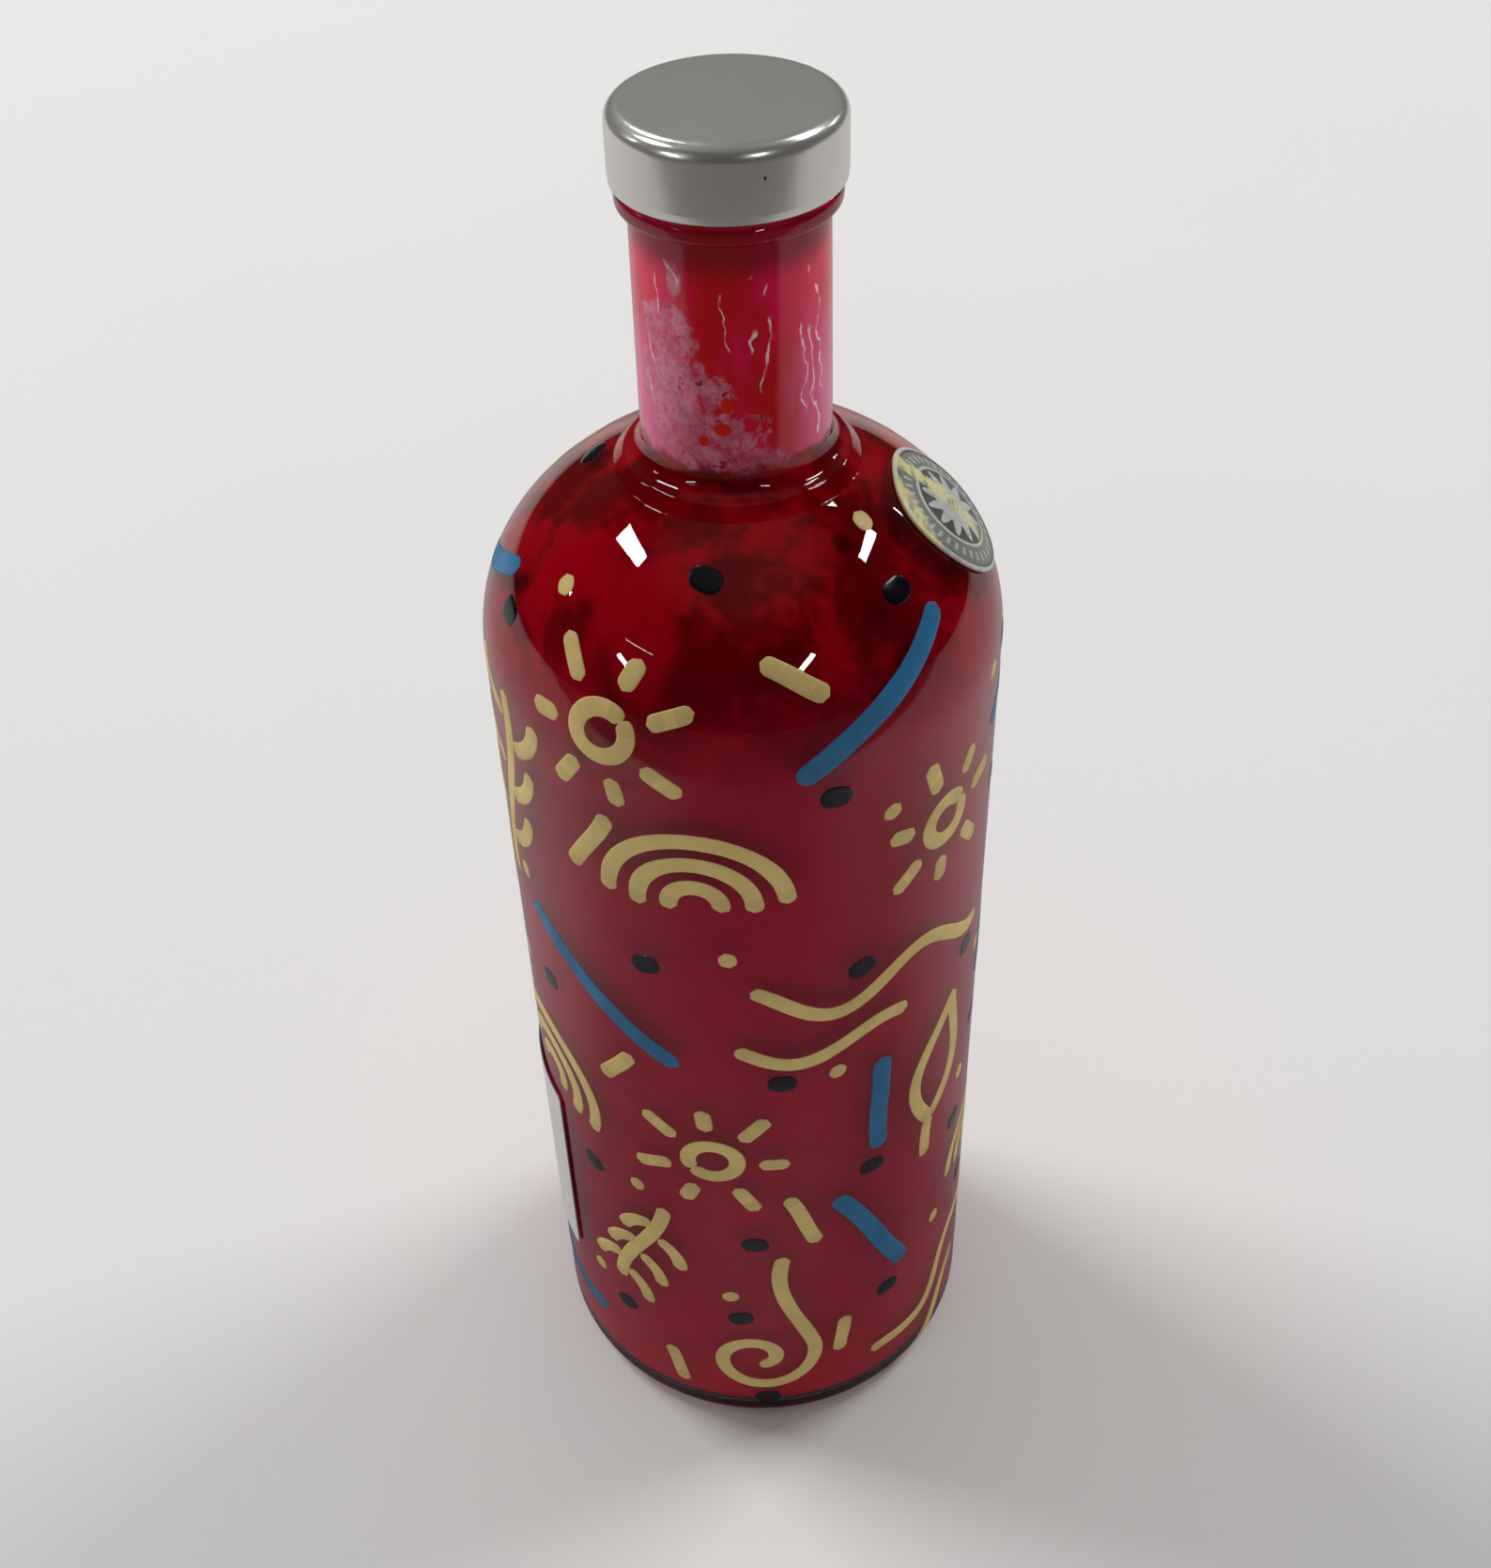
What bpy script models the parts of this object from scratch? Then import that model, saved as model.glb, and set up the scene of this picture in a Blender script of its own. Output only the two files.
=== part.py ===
"""One litre glass spirits bottle with a metal screw cap, a shoulder medallion and a back label.

Metres, +Z up. The origin is the centre of the base, on the surface that the bottle stands on.
The glass is one turned wall from the middle of its floor, over the lip and down to the middle of
its push-up. The cap is three nested pieces on one axis: a drawn shell, a moulded insert and a
sealing liner. The medallion and the label follow the glass that they are fixed to.
"""

from math import atan2, ceil, cos, pi, radians, sin, tan

import bmesh
import bpy
import numpy as np
from mathutils import Vector

MM = 0.001

# Clearance between pieces that touch on the real bottle
FIT_GAP = 0.3 * MM

# Glass body
BODY_RADIUS = 44.0 * MM
BODY_WALL = 3.6 * MM
SHOULDER_HEIGHT = 183.6 * MM
HEEL_ROUND = 5.5 * MM
INNER_HEEL_ROUND = 5.0 * MM
STANDING_RING_INNER = 33.5 * MM
STANDING_RING_ROUND = 1.6 * MM
PUSH_UP_RISE = 8.0 * MM
FLOOR_THICKNESS = 3.6 * MM

# Shoulder, a cubic curve from the straight wall to the foot of the collar
DOME_RISE = 32.84 * MM
DOME_TOP_RADIUS = 19.8 * MM
DOME_WALL_HANDLE = 18.9 * MM
DOME_CROWN_HANDLE = 11.0 * MM
DOME_CROWN_SLOPE = radians(29.0)
SHOULDER_WALL = 4.0 * MM

# Collar ring, neck and transfer bead
COLLAR_RADIUS = 18.05 * MM
COLLAR_HEIGHT = 2.16 * MM
COLLAR_ROUND = 1.3 * MM
COLLAR_CROWN_FALL = 1.05 * MM
NECK_FOOT_RADIUS = 15.15 * MM
NECK_TOP_RADIUS = 14.9 * MM
NECK_FILLET = 3.6 * MM
NECK_LENGTH = 39.65 * MM
BEAD_PROUD = 1.8 * MM
BEAD_HEIGHT = 3.3 * MM
BEAD_ROUND = 1.25 * MM

# Screw finish under the cap
FINISH_RADIUS = 14.2 * MM
FINISH_HEIGHT = 7.95 * MM
FINISH_FOOT_FILLET = 0.6 * MM
THREAD_DEPTH = 1.0 * MM
LIP_ROUND = 0.8 * MM
BORE_RADIUS = 9.2 * MM
NECK_BORE_RADIUS = 10.8 * MM
THROAT_RISE = 2.5 * MM
THROAT_ROUND = 3.0 * MM
BORE_FLARE_ROUND = 8.0 * MM

# Cap
LINER_THICKNESS = 1.2 * MM
LINER_RIB_HEIGHT = 0.6 * MM
LINER_RIB_DEPTH = 0.6 * MM
INSERT_WALL = 1.15 * MM
INSERT_TOP = 1.2 * MM
SHELL_WALL = 0.45 * MM
SHELL_EDGE_ROUND = 2.5 * MM
SHELL_HEM_HEIGHT = 1.2 * MM
SHELL_HEM_TUCK = 0.12 * MM
CAP_BEAD_GAP = 0.6 * MM

# Medallion and label, placed by azimuth about the bottle's axis
FRONT_AZIMUTH = radians(-4.0)
MEDALLION_RADIUS = 12.2 * MM
MEDALLION_ARC = 25.6 * MM
MEDALLION_THICKNESS = 0.5 * MM
LABEL_WIDTH = 49.6 * MM
LABEL_BOTTOM = 33.0 * MM
LABEL_HEIGHT = 49.5 * MM
LABEL_CORNER = 2.0 * MM
LABEL_THICKNESS = 0.25 * MM

# Faceting of the solids
TURN_STEPS = 48
FILLET_STEP = radians(19.0)
DOME_STEPS = 13
MEDALLION_RINGS = 4
MEDALLION_SPOKES = 28
LABEL_STEP = radians(4.0)
MERGE_DISTANCE = 0.01 * MM

# Heights that follow from the sizes above
DOME_TOP = SHOULDER_HEIGHT + DOME_RISE
COLLAR_TOP = DOME_TOP + COLLAR_HEIGHT
NECK_FOOT = COLLAR_TOP + COLLAR_CROWN_FALL
BEAD_BOTTOM = NECK_FOOT + NECK_LENGTH
BEAD_TOP = BEAD_BOTTOM + BEAD_HEIGHT
LIP_HEIGHT = BEAD_TOP + FINISH_HEIGHT

# Radii and levels of the nested cap, the levels measured from the lip
LINER_BOTTOM = FIT_GAP
LINER_TOP = LINER_BOTTOM + LINER_THICKNESS
INSERT_CEILING = LINER_TOP + FIT_GAP
INSERT_CROWN = INSERT_CEILING + INSERT_TOP
SHELL_CEILING = INSERT_CROWN + FIT_GAP
SHELL_CROWN = SHELL_CEILING + SHELL_WALL
CAP_BOTTOM = CAP_BEAD_GAP - FINISH_HEIGHT
INSERT_BOTTOM = CAP_BOTTOM + SHELL_HEM_HEIGHT
INSERT_BORE = FINISH_RADIUS + THREAD_DEPTH + FIT_GAP
INSERT_RADIUS = INSERT_BORE + INSERT_WALL
SHELL_BORE = INSERT_RADIUS + FIT_GAP
SHELL_RADIUS = SHELL_BORE + SHELL_WALL


def clear_scene():
    """Remove whatever the file holds, so that the model starts from nothing."""
    for old in list(bpy.data.objects):
        bpy.data.objects.remove(old, do_unlink=True)


def new_collection(name):
    """Return a new collection linked to the scene."""
    collection = bpy.data.collections.new(name)
    bpy.context.scene.collection.children.link(collection)
    return collection


def surface(name, colour, roughness, metallic=0.0, transmission=0.0):
    """Return a material of one Principled shader."""
    material = bpy.data.materials.new(name)
    material.use_nodes = True
    shader = material.node_tree.nodes["Principled BSDF"]
    shader.inputs["Base Color"].default_value = (*colour, 1.0)
    shader.inputs["Roughness"].default_value = roughness
    shader.inputs["Metallic"].default_value = metallic
    shader.inputs["Transmission Weight"].default_value = transmission
    material.diffuse_color = (*colour, 1.0)
    return material


def place(obj, material, collection, parent=None):
    """Give an object its material, collection and parent."""
    obj.data.materials.append(material)
    collection.objects.link(obj)
    obj.parent = parent
    return obj


def cubic(start, start_handle, end_handle, end, steps):
    """Return steps + 1 points and tangents along a cubic curve."""
    points = []
    tangents = []
    for index in range(steps + 1):
        t = index / steps
        back = 1.0 - t
        points.append(
            start * back**3
            + start_handle * (3.0 * back**2 * t)
            + end_handle * (3.0 * back * t**2)
            + end * t**3
        )
        slope = (
            (start_handle - start) * back**2
            + (end_handle - start_handle) * (2.0 * back * t)
            + (end - end_handle) * t**2
        )
        tangents.append(slope.normalized())
    return points, tangents


def shoulder_curve(steps):
    """Return the outer shoulder from the straight wall up to the collar's foot."""
    start = Vector((BODY_RADIUS, SHOULDER_HEIGHT))
    end = Vector((DOME_TOP_RADIUS, DOME_TOP))
    crown = Vector((cos(DOME_CROWN_SLOPE), -sin(DOME_CROWN_SLOPE)))
    return cubic(
        start,
        start + Vector((0.0, DOME_WALL_HANDLE)),
        end + crown * DOME_CROWN_HANDLE,
        end,
        steps,
    )


def arc(centre, radius, start_angle, end_angle):
    """Return points on an arc in the outline's plane, ends included."""
    steps = max(2, ceil(abs(end_angle - start_angle) / FILLET_STEP))
    turn = (end_angle - start_angle) / steps
    angles = [start_angle + turn * index for index in range(steps + 1)]
    return [centre + Vector((cos(angle), sin(angle))) * radius for angle in angles]


def fillet(before, corner, after, radius):
    """Return the points of the arc that rounds one corner of an outline."""
    back = (before - corner).normalized()
    ahead = (after - corner).normalized()
    half = back.angle(ahead) / 2.0
    centre = corner + (back + ahead).normalized() * (radius / sin(half))
    start = corner + back * (radius / tan(half)) - centre
    end = corner + ahead * (radius / tan(half)) - centre
    start_angle = atan2(start.y, start.x)
    sweep = (atan2(end.y, end.x) - start_angle + pi) % (2.0 * pi) - pi
    return arc(centre, radius, start_angle, start_angle + sweep)


def rounded(corners):
    """Return an outline from (radius, height, fillet) corners, each rounded by its fillet."""
    spots = [Vector(corner[:2]) for corner in corners]
    outline = [spots[0]]
    for index in range(1, len(corners) - 1):
        radius = corners[index][2]
        if radius > 0.0:
            outline += fillet(spots[index - 1], spots[index], spots[index + 1], radius)
        else:
            outline.append(spots[index])
    outline.append(spots[-1])
    return outline


def push_up_arc(rim_radius, rim_height, rise, steps):
    """Return a shallow spherical cap's outline, from its rim to its apex on the axis."""
    sphere = (rim_radius**2 + rise**2) / (2.0 * rise)
    apex = rim_height + rise
    radii = [rim_radius * (1.0 - index / steps) for index in range(steps + 1)]
    drops = [sphere - (sphere**2 - radius**2) ** 0.5 for radius in radii]
    return [(radius, apex - drop) for radius, drop in zip(radii, drops)]


def glass_inner_outline():
    """Return the inside of the glass, from the middle of the floor up to the lip."""
    wall_radius = BODY_RADIUS - BODY_WALL
    floor_rim = wall_radius - INNER_HEEL_ROUND
    floor = push_up_arc(floor_rim, FLOOR_THICKNESS, PUSH_UP_RISE, 6)
    points, tangents = shoulder_curve(DOME_STEPS)
    inside = []
    for index, (point, tangent) in enumerate(zip(points, tangents)):
        share = index / DOME_STEPS
        wall = BODY_WALL + (SHOULDER_WALL - BODY_WALL) * share
        inside.append(point + Vector((-tangent.y, tangent.x)) * wall)
    last = inside[-1]
    flare_height = last.y + (last.x - NECK_BORE_RADIUS) * tan(DOME_CROWN_SLOPE)
    corners = [(radius, height, 0.0) for radius, height in reversed(floor)]
    corners.append((wall_radius, FLOOR_THICKNESS, INNER_HEEL_ROUND))
    corners += [(point.x, point.y, 0.0) for point in inside]
    corners.append((NECK_BORE_RADIUS, flare_height, BORE_FLARE_ROUND))
    corners.append((NECK_BORE_RADIUS, BEAD_TOP, THROAT_ROUND))
    corners.append((BORE_RADIUS, BEAD_TOP + THROAT_RISE, THROAT_ROUND))
    corners.append((BORE_RADIUS, LIP_HEIGHT, LIP_ROUND))
    return corners


def glass_outer_outline():
    """Return the outside of the glass, from the lip down to the middle of the push-up."""
    bead_radius = NECK_TOP_RADIUS + BEAD_PROUD
    push_up_rim = STANDING_RING_INNER - STANDING_RING_ROUND
    corners = [
        (FINISH_RADIUS, LIP_HEIGHT, LIP_ROUND),
        (FINISH_RADIUS, BEAD_TOP, FINISH_FOOT_FILLET),
        (bead_radius, BEAD_TOP, BEAD_ROUND),
        (bead_radius, BEAD_BOTTOM, BEAD_ROUND),
        (NECK_TOP_RADIUS, BEAD_BOTTOM, FINISH_FOOT_FILLET / 2.0),
        (NECK_FOOT_RADIUS, NECK_FOOT, NECK_FILLET),
        (COLLAR_RADIUS, COLLAR_TOP, COLLAR_ROUND),
    ]
    points, _ = shoulder_curve(DOME_STEPS)
    corners += [(point.x, point.y, 0.0) for point in reversed(points)]
    corners.append((BODY_RADIUS, 0.0, HEEL_ROUND))
    corners.append((STANDING_RING_INNER, 0.0, STANDING_RING_ROUND))
    dome = push_up_arc(push_up_rim, STANDING_RING_ROUND, PUSH_UP_RISE - STANDING_RING_ROUND, 6)
    corners += [(radius, height, 0.0) for radius, height in dome]
    return corners


def insert_outline():
    """Return half the insert's section: crown, skirt, bore and the rib that holds the liner."""
    crown_round = SHELL_EDGE_ROUND - SHELL_WALL - FIT_GAP
    rib_radius = INSERT_BORE - LINER_RIB_DEPTH
    rib_top = LINER_BOTTOM - FIT_GAP
    rib_bottom = rib_top - LINER_RIB_HEIGHT
    return [
        (0.0, INSERT_CROWN, 0.0),
        (INSERT_RADIUS, INSERT_CROWN, crown_round),
        (INSERT_RADIUS, INSERT_BOTTOM, 0.0),
        (INSERT_BORE, INSERT_BOTTOM, 0.0),
        (INSERT_BORE, rib_bottom - LINER_RIB_DEPTH, 0.0),
        (rib_radius, rib_bottom, 0.0),
        (rib_radius, rib_top, 0.0),
        (INSERT_BORE, rib_top, 0.0),
        (INSERT_BORE, INSERT_CEILING, 0.0),
        (0.0, INSERT_CEILING, 0.0),
    ]


def shell_outline():
    """Return half the shell's section: drawn top, rounded edge, skirt and tucked hem."""
    hem_top = CAP_BOTTOM + SHELL_HEM_HEIGHT
    hem_radius = SHELL_RADIUS - SHELL_HEM_TUCK
    return [
        (0.0, SHELL_CROWN, 0.0),
        (SHELL_RADIUS, SHELL_CROWN, SHELL_EDGE_ROUND),
        (SHELL_RADIUS, hem_top, 0.0),
        (hem_radius, CAP_BOTTOM, 0.0),
        (hem_radius - SHELL_WALL, CAP_BOTTOM, 0.0),
        (SHELL_BORE, hem_top, 0.0),
        (SHELL_BORE, SHELL_CEILING, SHELL_EDGE_ROUND - SHELL_WALL),
        (0.0, SHELL_CEILING, 0.0),
    ]


def liner_outline():
    """Return half the liner's section, a plain disc that clears the insert's bore."""
    radius = INSERT_BORE - FIT_GAP
    return [
        (0.0, LINER_TOP, 0.0),
        (radius, LINER_TOP, 0.0),
        (radius, LINER_BOTTOM, 0.0),
        (0.0, LINER_BOTTOM, 0.0),
    ]


def turned(name, corners):
    """Return an object made by turning an outline about Z with a Screw modifier."""
    outline = rounded(corners)
    mesh = bpy.data.meshes.new(name)
    mesh.from_pydata(
        [(point.x, 0.0, point.y) for point in outline],
        [(index, index + 1) for index in range(len(outline) - 1)],
        [],
    )
    obj = bpy.data.objects.new(name, mesh)
    screw = obj.modifiers.new("Turn", "SCREW")
    screw.axis = "Z"
    screw.steps = TURN_STEPS
    screw.render_steps = TURN_STEPS
    screw.use_merge_vertices = True
    screw.merge_threshold = MERGE_DISTANCE
    screw.use_smooth_shade = True
    return obj


def glass_point(arc_length, azimuth, lift):
    """Return the point on the outer glass at an arc length above the shoulder line, lifted off it."""
    points, tangents = shoulder_curve(200)
    steps = [(b - a).length for a, b in zip(points, points[1:])]
    lengths = np.concatenate(([0.0], np.cumsum(steps)))
    radius = np.interp(arc_length, lengths, [point.x for point in points])
    height = np.interp(arc_length, lengths, [point.y for point in points])
    outward = Vector(
        (
            np.interp(arc_length, lengths, [tangent.y for tangent in tangents]),
            np.interp(arc_length, lengths, [-tangent.x for tangent in tangents]),
        )
    ).normalized()
    reach = radius + outward.x * lift
    return Vector((reach * cos(azimuth), reach * sin(azimuth), height + outward.y * lift))


def glass_radius(arc_length):
    """Return the outer radius of the shoulder at an arc length above the shoulder line."""
    return glass_point(arc_length, 0.0, 0.0).x


def skin(name, mesh, thickness):
    """Return an object that thickens an open mesh outwards into a thin closed solid."""
    obj = bpy.data.objects.new(name, mesh)
    solidify = obj.modifiers.new("Thickness", "SOLIDIFY")
    solidify.thickness = thickness
    solidify.offset = 1.0
    solidify.use_even_offset = True
    return obj


def medallion(name):
    """Return a round disc that follows the shoulder, built from rings about its middle."""
    mesh = bpy.data.meshes.new(name)
    shape = bmesh.new()
    middle = shape.verts.new(glass_point(MEDALLION_ARC, FRONT_AZIMUTH, FIT_GAP))
    rings = []
    for ring in range(1, MEDALLION_RINGS + 1):
        reach = MEDALLION_RADIUS * ring / MEDALLION_RINGS
        verts = []
        for spoke in range(MEDALLION_SPOKES):
            angle = 2.0 * pi * spoke / MEDALLION_SPOKES
            arc_length = MEDALLION_ARC + reach * sin(angle)
            azimuth = FRONT_AZIMUTH + reach * cos(angle) / glass_radius(arc_length)
            verts.append(shape.verts.new(glass_point(arc_length, azimuth, FIT_GAP)))
        rings.append(verts)
    for spoke in range(MEDALLION_SPOKES):
        after = (spoke + 1) % MEDALLION_SPOKES
        shape.faces.new((middle, rings[0][spoke], rings[0][after]))
        for inner, outer in zip(rings, rings[1:]):
            shape.faces.new((inner[spoke], outer[spoke], outer[after], inner[after]))
    shape.to_mesh(mesh)
    shape.free()
    return skin(name, mesh, MEDALLION_THICKNESS)


def label(name):
    """Return a rounded rectangle wrapped on the back wall, built from upright columns."""
    mesh = bpy.data.meshes.new(name)
    shape = bmesh.new()
    radius = BODY_RADIUS + FIT_GAP
    half_width = LABEL_WIDTH / 2.0
    straight = half_width - LABEL_CORNER
    corner = [straight + LABEL_CORNER * sin(radians(turn)) for turn in (0, 30, 60, 90)]
    flat_count = ceil(2.0 * straight / (BODY_RADIUS * LABEL_STEP))
    flat = [-straight + 2.0 * straight * index / flat_count for index in range(1, flat_count)]
    across = [-reach for reach in reversed(corner)] + flat + corner
    middle = FRONT_AZIMUTH + pi
    columns = []
    for distance in across:
        past = max(0.0, abs(distance) - straight)
        inset = LABEL_CORNER - max(0.0, LABEL_CORNER**2 - past**2) ** 0.5
        azimuth = middle + distance / radius
        spot = (radius * cos(azimuth), radius * sin(azimuth))
        low = shape.verts.new((*spot, LABEL_BOTTOM + inset))
        high = shape.verts.new((*spot, LABEL_BOTTOM + LABEL_HEIGHT - inset))
        columns.append((low, high))
    for (low, high), (next_low, next_high) in zip(columns, columns[1:]):
        shape.faces.new((low, next_low, next_high, high))
    shape.to_mesh(mesh)
    shape.free()
    return skin(name, mesh, LABEL_THICKNESS)


def main():
    """Build every piece of the bottle."""
    clear_scene()
    pieces = new_collection("spirits_bottle")

    glass = surface("coated_glass", (0.36, 0.01, 0.03), 0.04, transmission=0.2)
    satin_metal = surface("satin_aluminium", (0.62, 0.61, 0.58), 0.32, metallic=1.0)
    plastic = surface("natural_plastic", (0.82, 0.82, 0.80), 0.45)
    foam = surface("white_foam", (0.90, 0.89, 0.86), 0.80)
    silver = surface("grey_silver", (0.52, 0.54, 0.52), 0.40, metallic=0.6)
    paper = surface("white_label_film", (0.88, 0.88, 0.86), 0.55)

    bottle_outline = glass_inner_outline() + glass_outer_outline()
    place(turned("glass_bottle", bottle_outline), glass, pieces)
    place(medallion("shoulder_medallion"), silver, pieces)
    place(label("back_label"), paper, pieces)

    cap_axis = bpy.data.objects.new("cap_axis", None)
    cap_axis.location = (0.0, 0.0, LIP_HEIGHT)
    pieces.objects.link(cap_axis)
    place(turned("cap_shell", shell_outline()), satin_metal, pieces, cap_axis)
    place(turned("cap_insert", insert_outline()), plastic, pieces, cap_axis)
    place(turned("cap_liner", liner_outline()), foam, pieces, cap_axis)


main()
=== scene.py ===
"""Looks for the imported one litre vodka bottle, dressed piece by piece around the fixed frame.

The bottle is clear glass with a crimson film inside and hand painted strokes outside. It carries
a medallion on its shoulder, a label on its back and a satin metal screw cap with its insert and
liner. Sizes in the classes are millimetres unless a name says otherwise, and every mesh is
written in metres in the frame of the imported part.
"""

import logging
import math
from dataclasses import dataclass, field
from enum import Enum
from functools import reduce
from typing import Callable, Optional, Sequence

import bpy
import numpy as np
from mathutils import Matrix, Vector

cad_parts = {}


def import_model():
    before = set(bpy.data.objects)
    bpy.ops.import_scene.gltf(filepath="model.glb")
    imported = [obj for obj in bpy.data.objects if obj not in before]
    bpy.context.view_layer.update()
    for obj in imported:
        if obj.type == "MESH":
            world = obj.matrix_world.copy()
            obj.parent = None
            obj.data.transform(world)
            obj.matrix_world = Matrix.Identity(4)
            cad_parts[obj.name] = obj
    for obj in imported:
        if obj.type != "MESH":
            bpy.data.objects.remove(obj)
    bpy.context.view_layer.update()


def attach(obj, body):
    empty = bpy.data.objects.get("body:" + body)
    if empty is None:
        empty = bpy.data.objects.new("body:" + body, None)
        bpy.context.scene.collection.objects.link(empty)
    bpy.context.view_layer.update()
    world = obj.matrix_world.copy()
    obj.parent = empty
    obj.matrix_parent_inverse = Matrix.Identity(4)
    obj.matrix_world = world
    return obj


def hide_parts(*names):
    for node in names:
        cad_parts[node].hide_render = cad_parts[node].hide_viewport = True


LOG = logging.getLogger("vodka_bottle")

MM = 0.001
FULL_TURN = 2.0 * math.pi
PHOTO_WIDTH_PX = 1588

Corner = tuple[float, float, float]
Colour = tuple[float, float, float]
Relief = Callable[[np.ndarray, np.ndarray, np.ndarray], tuple[np.ndarray, np.ndarray]]
Place = Callable[[np.ndarray, np.ndarray, np.ndarray], np.ndarray]
Socket = bpy.types.NodeSocket


# Outlines and meshes


def smooth_step(low: float, high: float, value: np.ndarray) -> np.ndarray:
    """Ease from 0 to 1 as a value goes from low to high.

    Args:
        low: Value at which the result leaves 0.
        high: Value at which the result reaches 1.
        value: Values to ease.

    Returns:
        The eased values, between 0 and 1.
    """
    share = np.clip((value - low) / (high - low), 0.0, 1.0)
    return share * share * (3.0 - 2.0 * share)


def arc(centre: np.ndarray, radius: float, start: float, end: float, step: float) -> list[np.ndarray]:
    """Return the points of an arc, ends included.

    Args:
        centre: Middle of the arc.
        radius: Radius of the arc.
        start: First angle, in radians.
        end: Last angle, in radians.
        step: Largest angle between two points.

    Returns:
        The points along the arc.
    """
    count = max(3, math.ceil(abs(end - start) / step))
    angles = np.linspace(start, end, count + 1)
    return [centre + radius * np.array((math.cos(angle), math.sin(angle))) for angle in angles]


def round_corner(
    before: np.ndarray, corner: np.ndarray, after: np.ndarray, radius: float, step: float
) -> list[np.ndarray]:
    """Return the arc that rounds one corner of an outline.

    Args:
        before: The outline's point before the corner.
        corner: The sharp corner.
        after: The outline's point after the corner.
        radius: Radius of the rounding.
        step: Largest angle between two points of the arc.

    Returns:
        The points that take the corner's place.
    """
    back = (before - corner) / np.linalg.norm(before - corner)
    ahead = (after - corner) / np.linalg.norm(after - corner)
    half = math.acos(max(-1.0, min(1.0, float(back @ ahead)))) / 2.0
    middle = (back + ahead) / np.linalg.norm(back + ahead)
    centre = corner + middle * radius / math.sin(half)
    first = corner + back * radius / math.tan(half) - centre
    last = corner + ahead * radius / math.tan(half) - centre
    start = math.atan2(first[1], first[0])
    sweep = (math.atan2(last[1], last[0]) - start + math.pi) % FULL_TURN - math.pi
    return arc(centre, radius, start, start + sweep, step)


def sharp(points: Sequence[Sequence[float]]) -> list[Corner]:
    """Return points of an outline as corners that aren't rounded."""
    return [(float(radius), float(height), 0.0) for radius, height in points]


def outline_of(corners: Sequence[Corner], step_deg: float = 7.0) -> np.ndarray:
    """Return an outline in which each corner is rounded by its own radius.

    Args:
        corners: Radius, height and rounding of each corner.
        step_deg: Largest angle between two points of a rounding.

    Returns:
        An array of radius and height pairs without repeated points.
    """
    spots = [np.array(corner[:2], dtype=float) for corner in corners]
    points = [spots[0]]
    for index in range(1, len(corners) - 1):
        if corners[index][2] > 0.0:
            before, after = spots[index - 1], spots[index + 1]
            points += round_corner(before, spots[index], after, corners[index][2], math.radians(step_deg))
        else:
            points.append(spots[index])
    points.append(spots[-1])
    kept = [points[0]]
    for point in points[1:]:
        if np.linalg.norm(point - kept[-1]) > 1e-3:
            kept.append(point)
    return np.array(kept)


def divided(outline: np.ndarray, low: float, high: float, step: float) -> np.ndarray:
    """Split the long stretches of an outline between two heights.

    Args:
        outline: Radius and height pairs.
        low: Lower height of the zone.
        high: Upper height of the zone.
        step: Longest stretch left in the zone.

    Returns:
        The outline with the extra points.
    """
    points = [outline[0]]
    for start, end in zip(outline[:-1], outline[1:]):
        length = float(np.linalg.norm(end - start))
        inside = low <= min(start[1], end[1]) and max(start[1], end[1]) <= high
        count = max(1, math.ceil(length / step)) if inside else 1
        points += [start + (end - start) * index / count for index in range(1, count + 1)]
    return np.array(points)


def moved_off(outline: np.ndarray, distance: float) -> np.ndarray:
    """Shift an outline along its own normals, to the right of its direction for a positive distance.

    Args:
        outline: Radius and height pairs that start on the axis.
        distance: How far to move.

    Returns:
        The shifted outline, with its first point still on the axis.
    """
    slope = np.gradient(outline, axis=0)
    slope /= np.linalg.norm(slope, axis=1, keepdims=True)
    moved = outline + distance * np.stack((slope[:, 1], -slope[:, 0]), axis=1)
    moved[0] = (0.0, outline[0, 1] - distance)
    return moved


def enclosed_volume(points: np.ndarray, faces: Sequence[tuple[int, ...]]) -> float:
    """Return the signed volume that a closed mesh encloses.

    Args:
        points: Vertex positions.
        faces: Vertex numbers of each face.

    Returns:
        The volume, positive where the faces point outwards.
    """
    total = 0.0
    for count in (3, 4):
        group = np.array([face for face in faces if len(face) == count], dtype=int).reshape(-1, count)
        for last in range(2, count):
            a, b, c = points[group[:, 0]], points[group[:, last - 1]], points[group[:, last]]
            total += float(np.einsum("ij,ij->i", a, np.cross(b, c)).sum()) / 6.0
    return total


def linked(name: str, data: bpy.types.ID) -> bpy.types.Object:
    """Return a new object of the data, linked to the scene."""
    obj = bpy.data.objects.new(name, data)
    bpy.context.scene.collection.objects.link(obj)
    return obj


def dressed(obj: bpy.types.Object, material: bpy.types.Material) -> bpy.types.Object:
    """Return the object with its material added."""
    obj.data.materials.append(material)
    return obj


def mesh_object(name: str, points: np.ndarray, faces: Sequence[tuple[int, ...]]) -> bpy.types.Object:
    """Make a smooth shaded object from points in millimetres, with its faces turned outwards.

    Args:
        name: Name of the object and of its mesh.
        points: Vertex positions in millimetres.
        faces: Vertex numbers of each face of a closed mesh.

    Returns:
        The object, linked to the scene.
    """
    if enclosed_volume(points, faces) < 0.0:
        faces = [tuple(reversed(face)) for face in faces]
    mesh = bpy.data.meshes.new(name)
    mesh.from_pydata((points * MM).tolist(), [], faces)
    mesh.polygons.foreach_set("use_smooth", [True] * len(mesh.polygons))
    mesh.update()
    return linked(name, mesh)


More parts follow.
